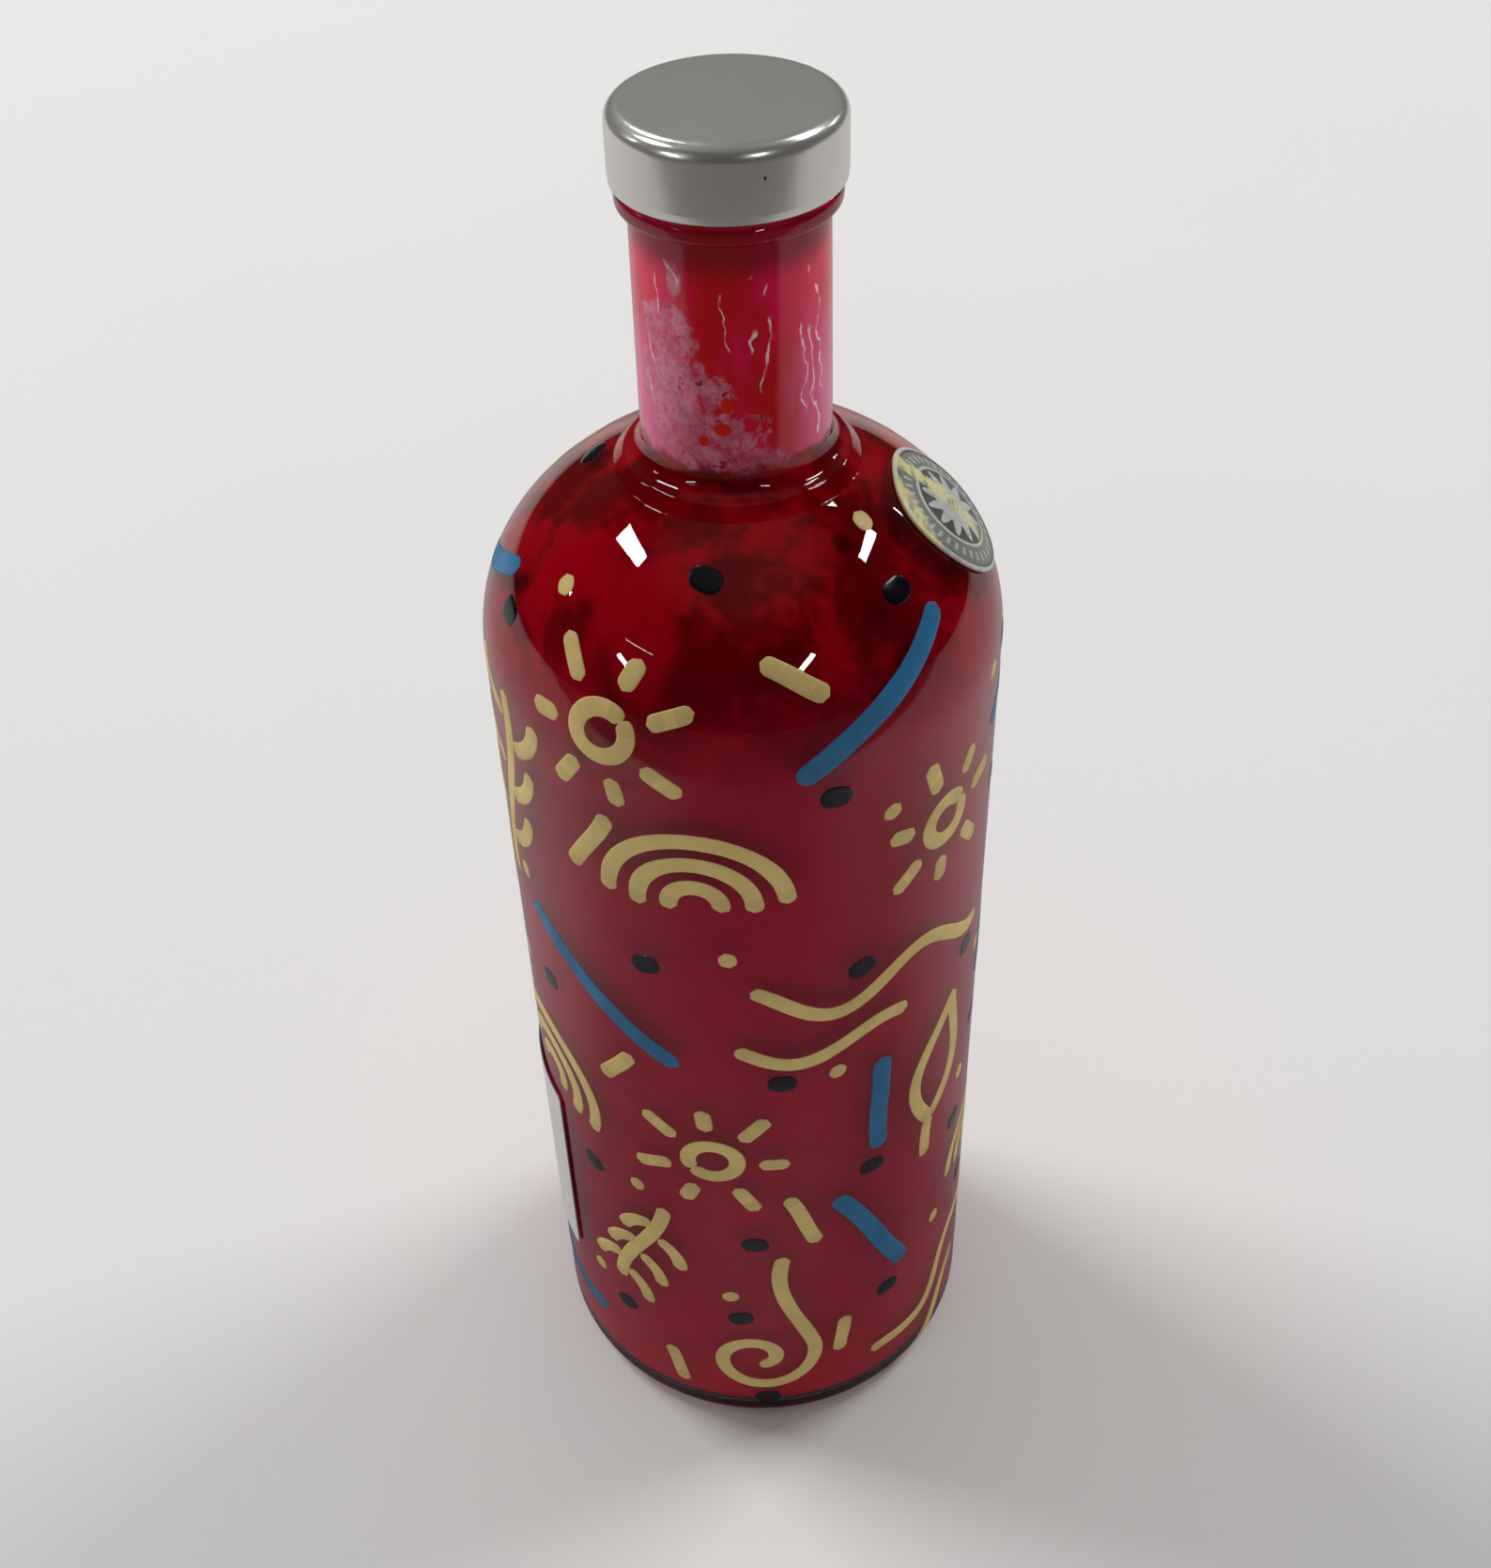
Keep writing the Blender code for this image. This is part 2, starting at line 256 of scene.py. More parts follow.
def turned(
    name: str,
    outline: np.ndarray,
    segments: int,
    relief: Optional[Relief] = None,
    place: Optional[Place] = None,
) -> bpy.types.Object:
    """Turn an outline about the axis into a closed mesh.

    Args:
        name: Name of the object.
        outline: Radius and height pairs. Ends on the axis become poles, and other ends are joined.
        segments: Number of steps in the turn.
        relief: Gives the change in radius and height at each angle, radius and height.
        place: Moves the turned points to another surface.

    Returns:
        The object.
    """
    start_pole = outline[0, 0] < 1e-6
    end_pole = outline[-1, 0] < 1e-6
    rings = outline[int(start_pole) : len(outline) - int(end_pole)]
    angle = np.arange(segments) * FULL_TURN / segments
    turn, radius = np.meshgrid(angle, rings[:, 0])
    _, height = np.meshgrid(angle, rings[:, 1])
    if relief:
        out, up = relief(turn, radius, height)
        radius, height = radius + out, height + up
    x, y, z = radius * np.cos(turn), radius * np.sin(turn), height
    columns = [np.stack((x, y, z), axis=-1).reshape(-1, 3)]
    count = len(rings)
    faces: list[tuple[int, ...]] = []
    joined = not (start_pole or end_pole)
    for ring in range(count if joined else count - 1):
        low, high = ring * segments, (ring + 1) % count * segments
        for step in range(segments):
            after = (step + 1) % segments
            faces.append((low + step, low + after, high + after, high + step))
    number = count * segments
    if start_pole:
        columns.append(np.array([[0.0, 0.0, outline[0, 1]]]))
        faces += [(number, (step + 1) % segments, step) for step in range(segments)]
        number += 1
    if end_pole:
        columns.append(np.array([[0.0, 0.0, outline[-1, 1]]]))
        base = (count - 1) * segments
        faces += [(number, base + step, base + (step + 1) % segments) for step in range(segments)]
    points = np.concatenate(columns)
    if place:
        points = place(points[:, 0], points[:, 1], points[:, 2])
    return mesh_object(name, points, faces)


def write_uv(obj: bpy.types.Object, name: str, across: np.ndarray, up: np.ndarray) -> None:
    """Store one UV map from two values per vertex.

    Args:
        obj: Mesh object.
        name: Name of the map.
        across: First coordinate of each vertex.
        up: Second coordinate of each vertex.
    """
    layer = obj.data.uv_layers.new(name=name)
    corner = np.empty(len(obj.data.loops), dtype=int)
    obj.data.loops.foreach_get("vertex_index", corner)
    layer.data.foreach_set("uv", np.stack((across[corner], up[corner]), axis=1).ravel())


# Node trees


class Nodes:
    """Adds and joins nodes in one shader, world or geometry tree."""

    def __init__(self, tree: bpy.types.NodeTree) -> None:
        """Hold the tree that the nodes go into."""
        self.tree = tree

    def feed(self, socket: Socket, value: object) -> None:
        """Join an output to a socket, or write a constant on it."""
        if isinstance(value, bpy.types.NodeSocket):
            self.tree.links.new(value, socket)
        else:
            socket.default_value = value

    def wire(self, node: bpy.types.Node, inputs: dict[object, object]) -> None:
        """Feed several sockets of a node, by name or number."""
        for key, value in inputs.items():
            self.feed(node.inputs[key], value)

    def add(self, kind: str, inputs: Optional[dict[object, object]] = None, **settings: object) -> bpy.types.Node:
        """Add a node.

        Args:
            kind: Blender's name of the node type.
            inputs: Sockets, by name or number, and what goes into each.
            settings: Properties of the node.

        Returns:
            The new node.
        """
        node = self.tree.nodes.new(kind)
        for name, value in settings.items():
            setattr(node, name, value)
        self.wire(node, inputs or {})
        return node

    def uv(self, name: str) -> Socket:
        """Return one UV map of the object."""
        return self.add("ShaderNodeUVMap", uv_map=name).outputs["UV"]

    def parts(self, vector: Socket) -> tuple[Socket, Socket, Socket]:
        """Return the three numbers of a vector."""
        node = self.add("ShaderNodeSeparateXYZ", {0: vector})
        return node.outputs[0], node.outputs[1], node.outputs[2]

    def stretched(self, vector: Socket, scale: Colour) -> Socket:
        """Return coordinates that are scaled along each axis."""
        return self.add("ShaderNodeMapping", {"Vector": vector, "Scale": scale}).outputs[0]

    def noise(
        self, vector: Socket, size_mm: float, detail: float = 3.0, rough: float = 0.5, warp: float = 0.0
    ) -> Socket:
        """Return a noise value.

        Args:
            vector: Coordinates in metres.
            size_mm: Size of the largest spots.
            detail: Number of finer layers.
            rough: Strength of the finer layers.
            warp: Distortion of the pattern.

        Returns:
            The value, around 0.5.
        """
        inputs = {"Vector": vector, "Scale": 1.0 / (size_mm * MM), "Detail": detail}
        inputs.update({"Roughness": rough, "Distortion": warp})
        return self.add("ShaderNodeTexNoise", inputs).outputs[0]

    def centred(self, *arguments: object) -> Socket:
        """Return a noise value around 0, from what noise takes."""
        return self.minus(self.noise(*arguments), 0.5)

    def step(self, value: Socket, low: float, high: float, start: float = 0.0, end: float = 1.0) -> Socket:
        """Return a value eased between two results as it goes from low to high."""
        inputs = {"Value": value, "From Min": low, "From Max": high, "To Min": start, "To Max": end}
        node = self.add("ShaderNodeMapRange", inputs, interpolation_type="SMOOTHSTEP")
        return node.outputs[0]

    def fade(self, value: Socket, low: float, high: float) -> Socket:
        """Return a value eased from 1 down to 0 as it goes from low to high."""
        return self.step(value, low, high, 1.0, 0.0)

    def zone(self, height: Socket, ends: tuple[float, float], start: float = 0.0, end: float = 1.0) -> Socket:
        """Return a value eased between two results over a zone of heights in millimetres."""
        return self.step(height, ends[0] * MM, ends[1] * MM, start, end)

    def math(self, operation: str, first: object, second: object = 0.0) -> Socket:
        """Return the result of one sum on two numbers."""
        return self.add("ShaderNodeMath", {0: first, 1: second}, operation=operation).outputs[0]

    def times(self, first: object, second: object) -> Socket:
        """Return a product."""
        return self.math("MULTIPLY", first, second)

    def plus(self, first: object, second: object) -> Socket:
        """Return a sum."""
        return self.math("ADD", first, second)

    def minus(self, first: object, second: object) -> Socket:
        """Return a difference."""
        return self.math("SUBTRACT", first, second)

    def larger(self, first: object, second: object) -> Socket:
        """Return the larger of two numbers."""
        return self.math("MAXIMUM", first, second)

    def distance(self, vector: Socket, spot: Colour, scale: Colour = (1.0, 1.0, 1.0)) -> Socket:
        """Return the distance in metres from a spot in millimetres, with each axis scaled."""
        inputs = {"Vector": vector, "Location": tuple(-c * MM * s for c, s in zip(spot, scale)), "Scale": scale}
        moved = self.add("ShaderNodeMapping", inputs).outputs[0]
        return self.add("ShaderNodeVectorMath", {0: moved}, operation="LENGTH").outputs["Value"]

    def blend(self, share: object, first: object, second: object) -> Socket:
        """Return a mix of two colours.

        Args:
            share: How much of the second colour shows.
            first: Colour at 0.
            second: Colour at 1.

        Returns:
            The mixed colour.
        """
        node = self.add("ShaderNodeMix", data_type="RGBA")
        for index, value in ((0, share), (6, first), (7, second)):
            if isinstance(value, tuple):
                value = (*value, 1.0)
            self.feed(node.inputs[index], value)
        return node.outputs[2]

    def bump(self, height: Socket, depth_mm: float) -> Socket:
        """Return a normal that is tilted by a height pattern of the given depth."""
        inputs = {"Height": height, "Distance": depth_mm * MM, "Strength": 1.0}
        return self.add("ShaderNodeBump", inputs).outputs[0]


def new_material(name: str) -> tuple[bpy.types.Material, Nodes, bpy.types.Node, Socket]:
    """Return a new material, its nodes, its Principled shader and the object's own coordinates in metres."""
    material = bpy.data.materials.new(name)
    material.use_nodes = True
    nodes = Nodes(material.node_tree)
    here = nodes.add("ShaderNodeTexCoord").outputs["Object"]
    return material, nodes, material.node_tree.nodes["Principled BSDF"], here


class Recipe:
    """A Geometry Nodes tree with named inputs that ends in Realize Instances and Set Material."""

    def __init__(self, name: str) -> None:
        """Start a tree with a geometry input and output."""
        self.group = bpy.data.node_groups.new(name, "GeometryNodeTree")
        self.nodes = Nodes(self.group)
        face = self.group.interface
        face.new_socket("Geometry", in_out="OUTPUT", socket_type="NodeSocketGeometry")
        face.new_socket("Geometry", in_out="INPUT", socket_type="NodeSocketGeometry")
        self.entry = self.nodes.add("NodeGroupInput")
        self.exit = self.nodes.add("NodeGroupOutput")
        self.names: dict[str, str] = {}

    def ask(self, name: str, kind: str) -> Socket:
        """Add a named input and return its socket inside the tree."""
        item = self.group.interface.new_socket(name, in_out="INPUT", socket_type=kind)
        self.names[name] = item.identifier
        return self.entry.outputs[name]

    def close(self, geometry: Socket, material: Socket) -> None:
        """End the tree: realize what is instanced, shade it smooth and give it the material."""
        real = self.nodes.add("GeometryNodeRealizeInstances", {"Geometry": geometry})
        smooth = self.nodes.add("GeometryNodeSetShadeSmooth", {"Geometry": real.outputs[0]})
        last = self.nodes.add("GeometryNodeSetMaterial", {"Geometry": smooth.outputs[0], "Material": material})
        self.nodes.feed(self.exit.inputs[0], last.outputs[0])

    def apply(self, obj: bpy.types.Object, values: dict[str, object]) -> bpy.types.Object:
        """Run the tree on an object and keep only the plain mesh that it makes.

        Args:
            obj: Object whose mesh goes in.
            values: Value of each named input.

        Returns:
            The same object with the finished mesh.
        """
        modifier = obj.modifiers.new(self.group.name, "NODES")
        modifier.node_group = self.group
        for name, value in values.items():
            modifier[self.names[name]] = value
        graph = bpy.context.evaluated_depsgraph_get()
        made = bpy.data.meshes.new_from_object(obj.evaluated_get(graph))
        obj.modifiers.clear()
        obj.data = made
        made.name = obj.name
        return obj


# Finishes


@dataclass(frozen=True)
class ClearGlass:
    """Flint glass with the faint waves that a mould leaves."""

    name: str = "clear_flint_glass"
    tint: Colour = (0.985, 0.99, 0.985)
    through: Colour = (0.97, 0.97, 0.97)
    along: Colour = (0.34, 0.30, 0.30)
    ior: float = 1.52
    wave_size: float = 13.0
    wave_depth: float = 0.035

    def build(self) -> bpy.types.Material:
        """Return the material. Light that only passes through to the film goes straight."""
        material, nodes, shader, here = new_material(self.name)
        waves = nodes.noise(here, self.wave_size, 1.5, 0.4, 0.3)
        looks = {"Base Color": (*self.tint, 1.0), "Transmission Weight": 1.0, "Roughness": 0.0, "IOR": self.ior}
        nodes.wire(shader, {**looks, "Normal": nodes.bump(waves, self.wave_depth)})
        rays = nodes.add("ShaderNodeLightPath")
        straight = nodes.larger(rays.outputs["Is Shadow Ray"], rays.outputs["Is Diffuse Ray"])
        grazing = nodes.step(nodes.add("ShaderNodeLayerWeight", {"Blend": 0.5}).outputs["Facing"], 0.58, 0.72)
        clear = nodes.add("ShaderNodeBsdfTransparent", {"Color": nodes.blend(grazing, self.through, self.along)})
        mixed = nodes.add("ShaderNodeMixShader", {0: straight, 1: shader.outputs[0], 2: clear.outputs[0]})
        nodes.feed(material.node_tree.nodes["Material Output"].inputs["Surface"], mixed.outputs[0])
        return material


@dataclass(frozen=True)
class FilmPatch:
    """Oval area of the neck's film, by angle from the front and height."""

    angle_deg: float
    height: float
    half_angle_deg: float
    half_height: float


@dataclass(frozen=True)
class FilmLine:
    """Thin crooked line where the neck's film has lifted, by angle from the front and height."""

    start_deg: float
    start: float
    end_deg: float
    end: float
    half_width: float = 0.13


@dataclass(frozen=True)
class CrimsonFilm:
    """Crimson lacquer poured round the inside, dense in the body, starved and skinned over in the neck."""

    name: str = "crimson_film"
    body: Colour = (0.370, 0.0022, 0.0260)
    body_low: Colour = (0.500, 0.0032, 0.0260)
    deep: Colour = (0.120, 0.0004, 0.0024)
    rich: Colour = (0.330, 0.0008, 0.0070)
    neck_deep: Colour = (0.540, 0.0006, 0.0070)
    neck_rich: Colour = (0.720, 0.0010, 0.0640)
    haze: Colour = (0.760, 0.120, 0.300)
    skin_dark: Colour = (0.470, 0.060, 0.130)
    skin_pale: Colour = (0.680, 0.245, 0.340)
    streak: Colour = (0.88, 0.60, 0.66)
    clear: Colour = (0.62, 0.012, 0.004)
    neck_zone: tuple[float, float] = (217.0, 226.0)
    neck_bore: float = 10.8
    line_fade: float = 1.2
    low_zone: tuple[float, float] = (0.0, 55.0)
    dome_zone: tuple[float, float] = (172.0, 205.0)
    haze_zone: tuple[float, float] = (230.0, 249.0)
    bead_zone: tuple[float, float] = (251.0, 256.0)
    bead: Colour = (0.185, 0.0030, 0.0110)
    speck: Colour = (0.26, 0.010, 0.035)
    skins: tuple[FilmPatch, ...] = (
        FilmPatch(-42.0, 252.0, 9.0, 4.5),
        FilmPatch(-52.0, 243.0, 36.0, 7.0),
        FilmPatch(-46.0, 234.0, 60.0, 8.5),
        FilmPatch(-26.0, 227.0, 70.0, 8.0),
        FilmPatch(-8.0, 222.5, 66.0, 5.0),
        FilmPatch(120.0, 224.0, 42.0, 9.0),
        FilmPatch(178.0, 236.0, 34.0, 13.0),
    )
    clears: tuple[FilmPatch, ...] = (
        FilmPatch(-6.0, 232.5, 6.0, 1.7),
        FilmPatch(-10.0, 228.4, 8.0, 1.4),
        FilmPatch(-24.0, 226.0, 5.0, 1.2),
    )
    lines: tuple[FilmLine, ...] = (
        FilmLine(26.6, 246.7, 17.7, 233.7),
        FilmLine(15.5, 245.0, 12.0, 240.6, 0.16),
        FilmLine(-5.6, 250.9, -4.5, 241.0, 0.10),
        FilmLine(27.0, 251.9, 24.0, 249.6),
        FilmLine(14.0, 253.6, 11.0, 252.5, 0.16),
        FilmLine(61.0, 252.4, 64.0, 250.6),
        FilmLine(50.0, 244.0, 57.0, 228.0),
        FilmLine(59.0, 243.0, 70.0, 222.5, 0.16),
        FilmLine(67.0, 249.0, 76.0, 230.0),
        FilmLine(-74.0, 241.0, -64.0, 236.5, 0.18),
        FilmLine(-78.0, 234.5, -64.0, 229.0, 0.18),
        FilmLine(-62.0, 252.0, -57.0, 245.0),
        FilmLine(-48.0, 255.0, -40.0, 250.6, 0.20),
        FilmLine(118.0, 250.0, 129.0, 234.0),
        FilmLine(165.0, 246.0, 171.0, 232.0),
        FilmLine(-132.0, 247.0, -124.0, 236.0),
    )

    def reach(self, nodes: Nodes, unrolled: Socket, patches: Sequence[FilmPatch]) -> Socket:
        """Return how far inside any of the patches a place is, from 0 to 1."""
        masks = []
        for patch in patches:
            around = math.radians(patch.angle_deg) * self.neck_bore
            half = math.radians(patch.half_angle_deg) * self.neck_bore
            scale = (1.0 / half, 1.0 / patch.half_height, 1.0)
            off = nodes.distance(unrolled, (around, patch.height, 0.0), scale)
            masks.append(nodes.fade(off, 0.45 * MM, 1.30 * MM))
        return reduce(nodes.larger, masks)

    def lifted(self, nodes: Nodes, here: Socket, around: Socket, height: Socket) -> Socket:
        """Return where the crooked lines run.

        Args:
            nodes: The material's nodes.
            here: Object coordinates.
            around: Distance round the neck from its front.
            height: Height.

        Returns:
            The mask of all lines.
        """
        tall = nodes.stretched(here, (1.0, 1.0, 0.8))
        slow = nodes.times(nodes.centred(tall, 4.5, 1.0), 4.0 * MM)
        quick = nodes.times(nodes.centred(tall, 1.3, 1.0), 1.0 * MM)
        place = nodes.plus(around, nodes.plus(slow, quick))
        masks = []
        for line in self.lines:
            first, last = (math.radians(v) * self.neck_bore * MM for v in (line.start_deg, line.end_deg))
            slope = (last - first) / ((line.end - line.start) * MM)
            level = nodes.minus(height, line.start * MM)
            middle = nodes.plus(nodes.times(level, slope), first)
            off = nodes.math("ABSOLUTE", nodes.minus(place, middle))
            on = nodes.fade(off, line.half_width * 0.6 * MM, line.half_width * 1.6 * MM)
            above = nodes.step(height, line.end * MM, (line.end + self.line_fade) * MM)
            below = nodes.fade(height, (line.start - self.line_fade) * MM, line.start * MM)
            masks.append(nodes.times(on, nodes.times(above, below)))
        broken = nodes.step(nodes.noise(here, 1.8, 2.0), 0.36, 0.56, 0.25, 1.0)
        return nodes.times(reduce(nodes.larger, masks), broken)

    def neck_colour(self, nodes: Nodes, here: Socket) -> Socket:
        """Return the colour of the film in the neck."""
        x, y, z = nodes.parts(here)
        turn = nodes.math("ARCTAN2", x, nodes.times(y, -1.0))
        around = nodes.times(turn, self.neck_bore * MM)
        unrolled = nodes.add("ShaderNodeCombineXYZ", {0: around, 1: z}).outputs[0]
        tall = nodes.stretched(here, (1.0, 1.0, 0.3))
        base = nodes.blend(nodes.step(nodes.noise(tall, 6.5, 3.0), 0.38, 0.66), self.neck_deep, self.neck_rich)
        side = nodes.minus(nodes.math("ABSOLUTE", turn), nodes.step(turn, -0.2, 0.2, 0.0, 0.12))
        cloud = nodes.times(nodes.centred(tall, 9.0, 4.0), 1.5)
        thin = nodes.step(nodes.plus(side, cloud), 0.34, 1.25)
        runs = nodes.step(nodes.noise(nodes.stretched(here, (1.0, 1.0, 0.10)), 1.7, 3.0), 0.35, 0.70, 0.72, 1.12)
        low = nodes.zone(z, self.haze_zone, 1.0, 0.06)
        veil = nodes.times(nodes.times(thin, low), runs)
        hazed = nodes.blend(veil, base, self.haze)
        flakes = nodes.noise(nodes.stretched(here, (1.0, 1.0, 0.7)), 1.9, 8.0, 0.70, 0.5)
        patch = self.reach(nodes, unrolled, self.skins)
        grown = nodes.plus(nodes.times(patch, 0.55), nodes.times(flakes, 0.90))
        skin = nodes.step(grown, 0.86, 1.00)
        tone = nodes.step(nodes.noise(nodes.stretched(here, (1.0, 1.0, 0.8)), 3.4, 9.0, 0.74), 0.34, 0.64)
        tone = nodes.times(tone, nodes.step(nodes.noise(here, 0.9, 2.0), 0.30, 0.42, 0.6, 1.0))
        flat = nodes.blend(tone, self.skin_dark, self.skin_pale)
        flat = nodes.blend(nodes.step(nodes.noise(here, 1.25, 2.0, 0.5, 0.6), 0.665, 0.70), flat, self.speck)
        skinned = nodes.blend(nodes.times(skin, 0.86), hazed, flat)
        hole = self.reach(nodes, unrolled, self.clears)
        torn = nodes.plus(nodes.times(hole, 0.6), nodes.times(nodes.noise(here, 2.0, 4.0), 0.6))
        opened = nodes.blend(nodes.step(torn, 0.62, 0.72), skinned, self.clear)
        lined = nodes.blend(self.lifted(nodes, here, around, z), opened, self.streak)
        return nodes.blend(nodes.zone(z, self.bead_zone, 0.0, 0.78), lined, self.bead)

    def build(self) -> bpy.types.Material:
        """Return the material."""
        material, nodes, shader, here = new_material(self.name)
        _, _, z = nodes.parts(here)
        mottle = nodes.step(nodes.noise(here, 15.0, 4.0, 0.55, 0.5), 0.36, 0.66)
        ripple = nodes.step(nodes.noise(here, 4.6, 3.0, 0.5, 0.8), 0.38, 0.62, -0.16, 0.16)
        dome = nodes.blend(nodes.step(nodes.plus(mottle, ripple), 0.0, 1.0), self.deep, self.rich)
        wall = nodes.blend(nodes.zone(z, self.low_zone, 1.0, 0.0), self.body, self.body_low)
        faint = nodes.step(nodes.noise(here, 26.0, 3.0), 0.3, 0.7, 0.0, 0.10)
        wall = nodes.blend(faint, wall, self.deep)
        body = nodes.blend(nodes.zone(z, self.dome_zone), wall, dome)
        up = nodes.zone(z, self.neck_zone)
        edge = nodes.step(nodes.plus(up, nodes.centred(here, 4.0, 6.0, 0.6)), 0.36, 0.64)
        colour = nodes.blend(edge, body, self.neck_colour(nodes, here))
        grain = nodes.bump(nodes.noise(here, 1.2, 3.0), 0.03)
        nodes.wire(shader, {"Base Color": colour, "Roughness": 0.5, "Specular IOR Level": 0.0, "Normal": grain})
        return material


@dataclass(frozen=True)
class MarkerPaint:
    """Opaque paint laid from a marker, a little uneven along each stroke and fuller at its ends."""

    name: str
    colour: Colour
    thin: Colour
    roughness: float = 0.38
    end_attribute: str = "from_end"

    def build(self) -> bpy.types.Material:
        """Return the material."""
        material, nodes, shader, here = new_material(self.name)
        uneven = nodes.step(nodes.noise(here, 9.0, 4.0, 0.55), 0.38, 0.66)
        fine = nodes.step(nodes.noise(here, 0.9, 2.0), 0.3, 0.7, 0.0, 0.22)
        share = nodes.plus(nodes.times(uneven, 0.75), fine)
        laid = nodes.blend(share, self.colour, self.thin)
        stored = nodes.add("ShaderNodeAttribute", attribute_name=self.end_attribute, attribute_type="GEOMETRY")
        end = stored.outputs["Fac"]
        blob = nodes.step(end, 1.55, 1.75, 0.30, 0.0)
        ring = nodes.times(nodes.step(end, 1.45, 1.60), nodes.step(end, 1.70, 1.90, 0.35, 0.0))
        fuller = nodes.blend(nodes.larger(blob, ring), laid, tuple(0.62 * c for c in self.colour))
        rough = nodes.step(uneven, 0.0, 1.0, self.roughness, self.roughness + 0.12)
        grain = nodes.bump(nodes.noise(here, 1.6, 3.0), 0.02)
        nodes.wire(shader, {"Base Color": fuller, "Roughness": rough, "Normal": grain})
        return material


@dataclass(frozen=True)
class SatinAluminium:
    """Drawn aluminium sheet under a satin lacquer, with one small dark nick."""

    name: str = "satin_aluminium"
    metal: Colour = (0.80, 0.785, 0.75)
    worn: Colour = (0.775, 0.76, 0.725)
    metallic: float = 0.76
    roughness: float = 0.25
    nick: Colour = (4.93, -16.69, 269.73)
    nick_radius: float = 0.28
    nick_colour: Colour = (0.03, 0.03, 0.03)

    def build(self) -> bpy.types.Material:
        """Return the material."""
        material, nodes, shader, here = new_material(self.name)
        cloud = nodes.noise(here, 9.0, 1.5)
        tone = nodes.blend(nodes.step(cloud, 0.35, 0.7), self.metal, self.worn)
        spot = nodes.distance(here, self.nick, (1.0, 1.0, 0.8))
        near = nodes.fade(spot, self.nick_radius * 0.6 * MM, self.nick_radius * MM)
        marked = nodes.blend(near, tone, self.nick_colour)
        rolled = nodes.noise(nodes.stretched(here, (1.0, 0.08, 1.0)), 0.16, 2.0, 0.6)
        rough = nodes.step(nodes.noise(here, 7.0, 1.5), 0.3, 0.7, self.roughness - 0.01, self.roughness + 0.02)
        looks = {"Base Color": marked, "Metallic": self.metallic, "Roughness": rough}
        nodes.wire(shader, {**looks, "Normal": nodes.bump(rolled, 0.004)})
        return material


@dataclass(frozen=True)
class MouldedPlastic:
    """Uncoloured polypropylene, slightly milky."""

    name: str = "natural_polypropylene"
    colour: Colour = (0.74, 0.74, 0.71)
    denser: Colour = (0.66, 0.66, 0.63)

    def build(self) -> bpy.types.Material:
        """Return the material."""
        material, nodes, shader, here = new_material(self.name)
        flow = nodes.step(nodes.noise(nodes.stretched(here, (1.0, 1.0, 0.3)), 4.0, 3.0), 0.3, 0.7)
        tone = nodes.blend(flow, self.colour, self.denser)
        rough = nodes.step(flow, 0.0, 1.0, 0.36, 0.48)
        grain = nodes.bump(nodes.noise(here, 0.25, 2.0), 0.006)
        nodes.wire(shader, {"Base Color": tone, "Roughness": rough, "Normal": grain})
        nodes.wire(shader, {"Subsurface Weight": 0.15, "Subsurface Scale": 1.0 * MM})
        return material


@dataclass(frozen=True)
class FoamSheet:
    """Expanded polyethylene with a smooth skin and small cells."""

    name: str = "liner_foam"
    colour: Colour = (0.80, 0.79, 0.75)
    hollow: Colour = (0.70, 0.69, 0.65)

    def build(self) -> bpy.types.Material:
        """Return the material."""
        material, nodes, shader, here = new_material(self.name)
        cell = nodes.add("ShaderNodeTexVoronoi", {"Vector": here, "Scale": 1.0 / (0.35 * MM)}).outputs["Distance"]
        tone = nodes.blend(nodes.step(cell, 0.2, 0.8), self.colour, self.hollow)
        nodes.wire(shader, {"Base Color": tone, "Roughness": 0.7, "Normal": nodes.bump(cell, 0.03)})
        return material


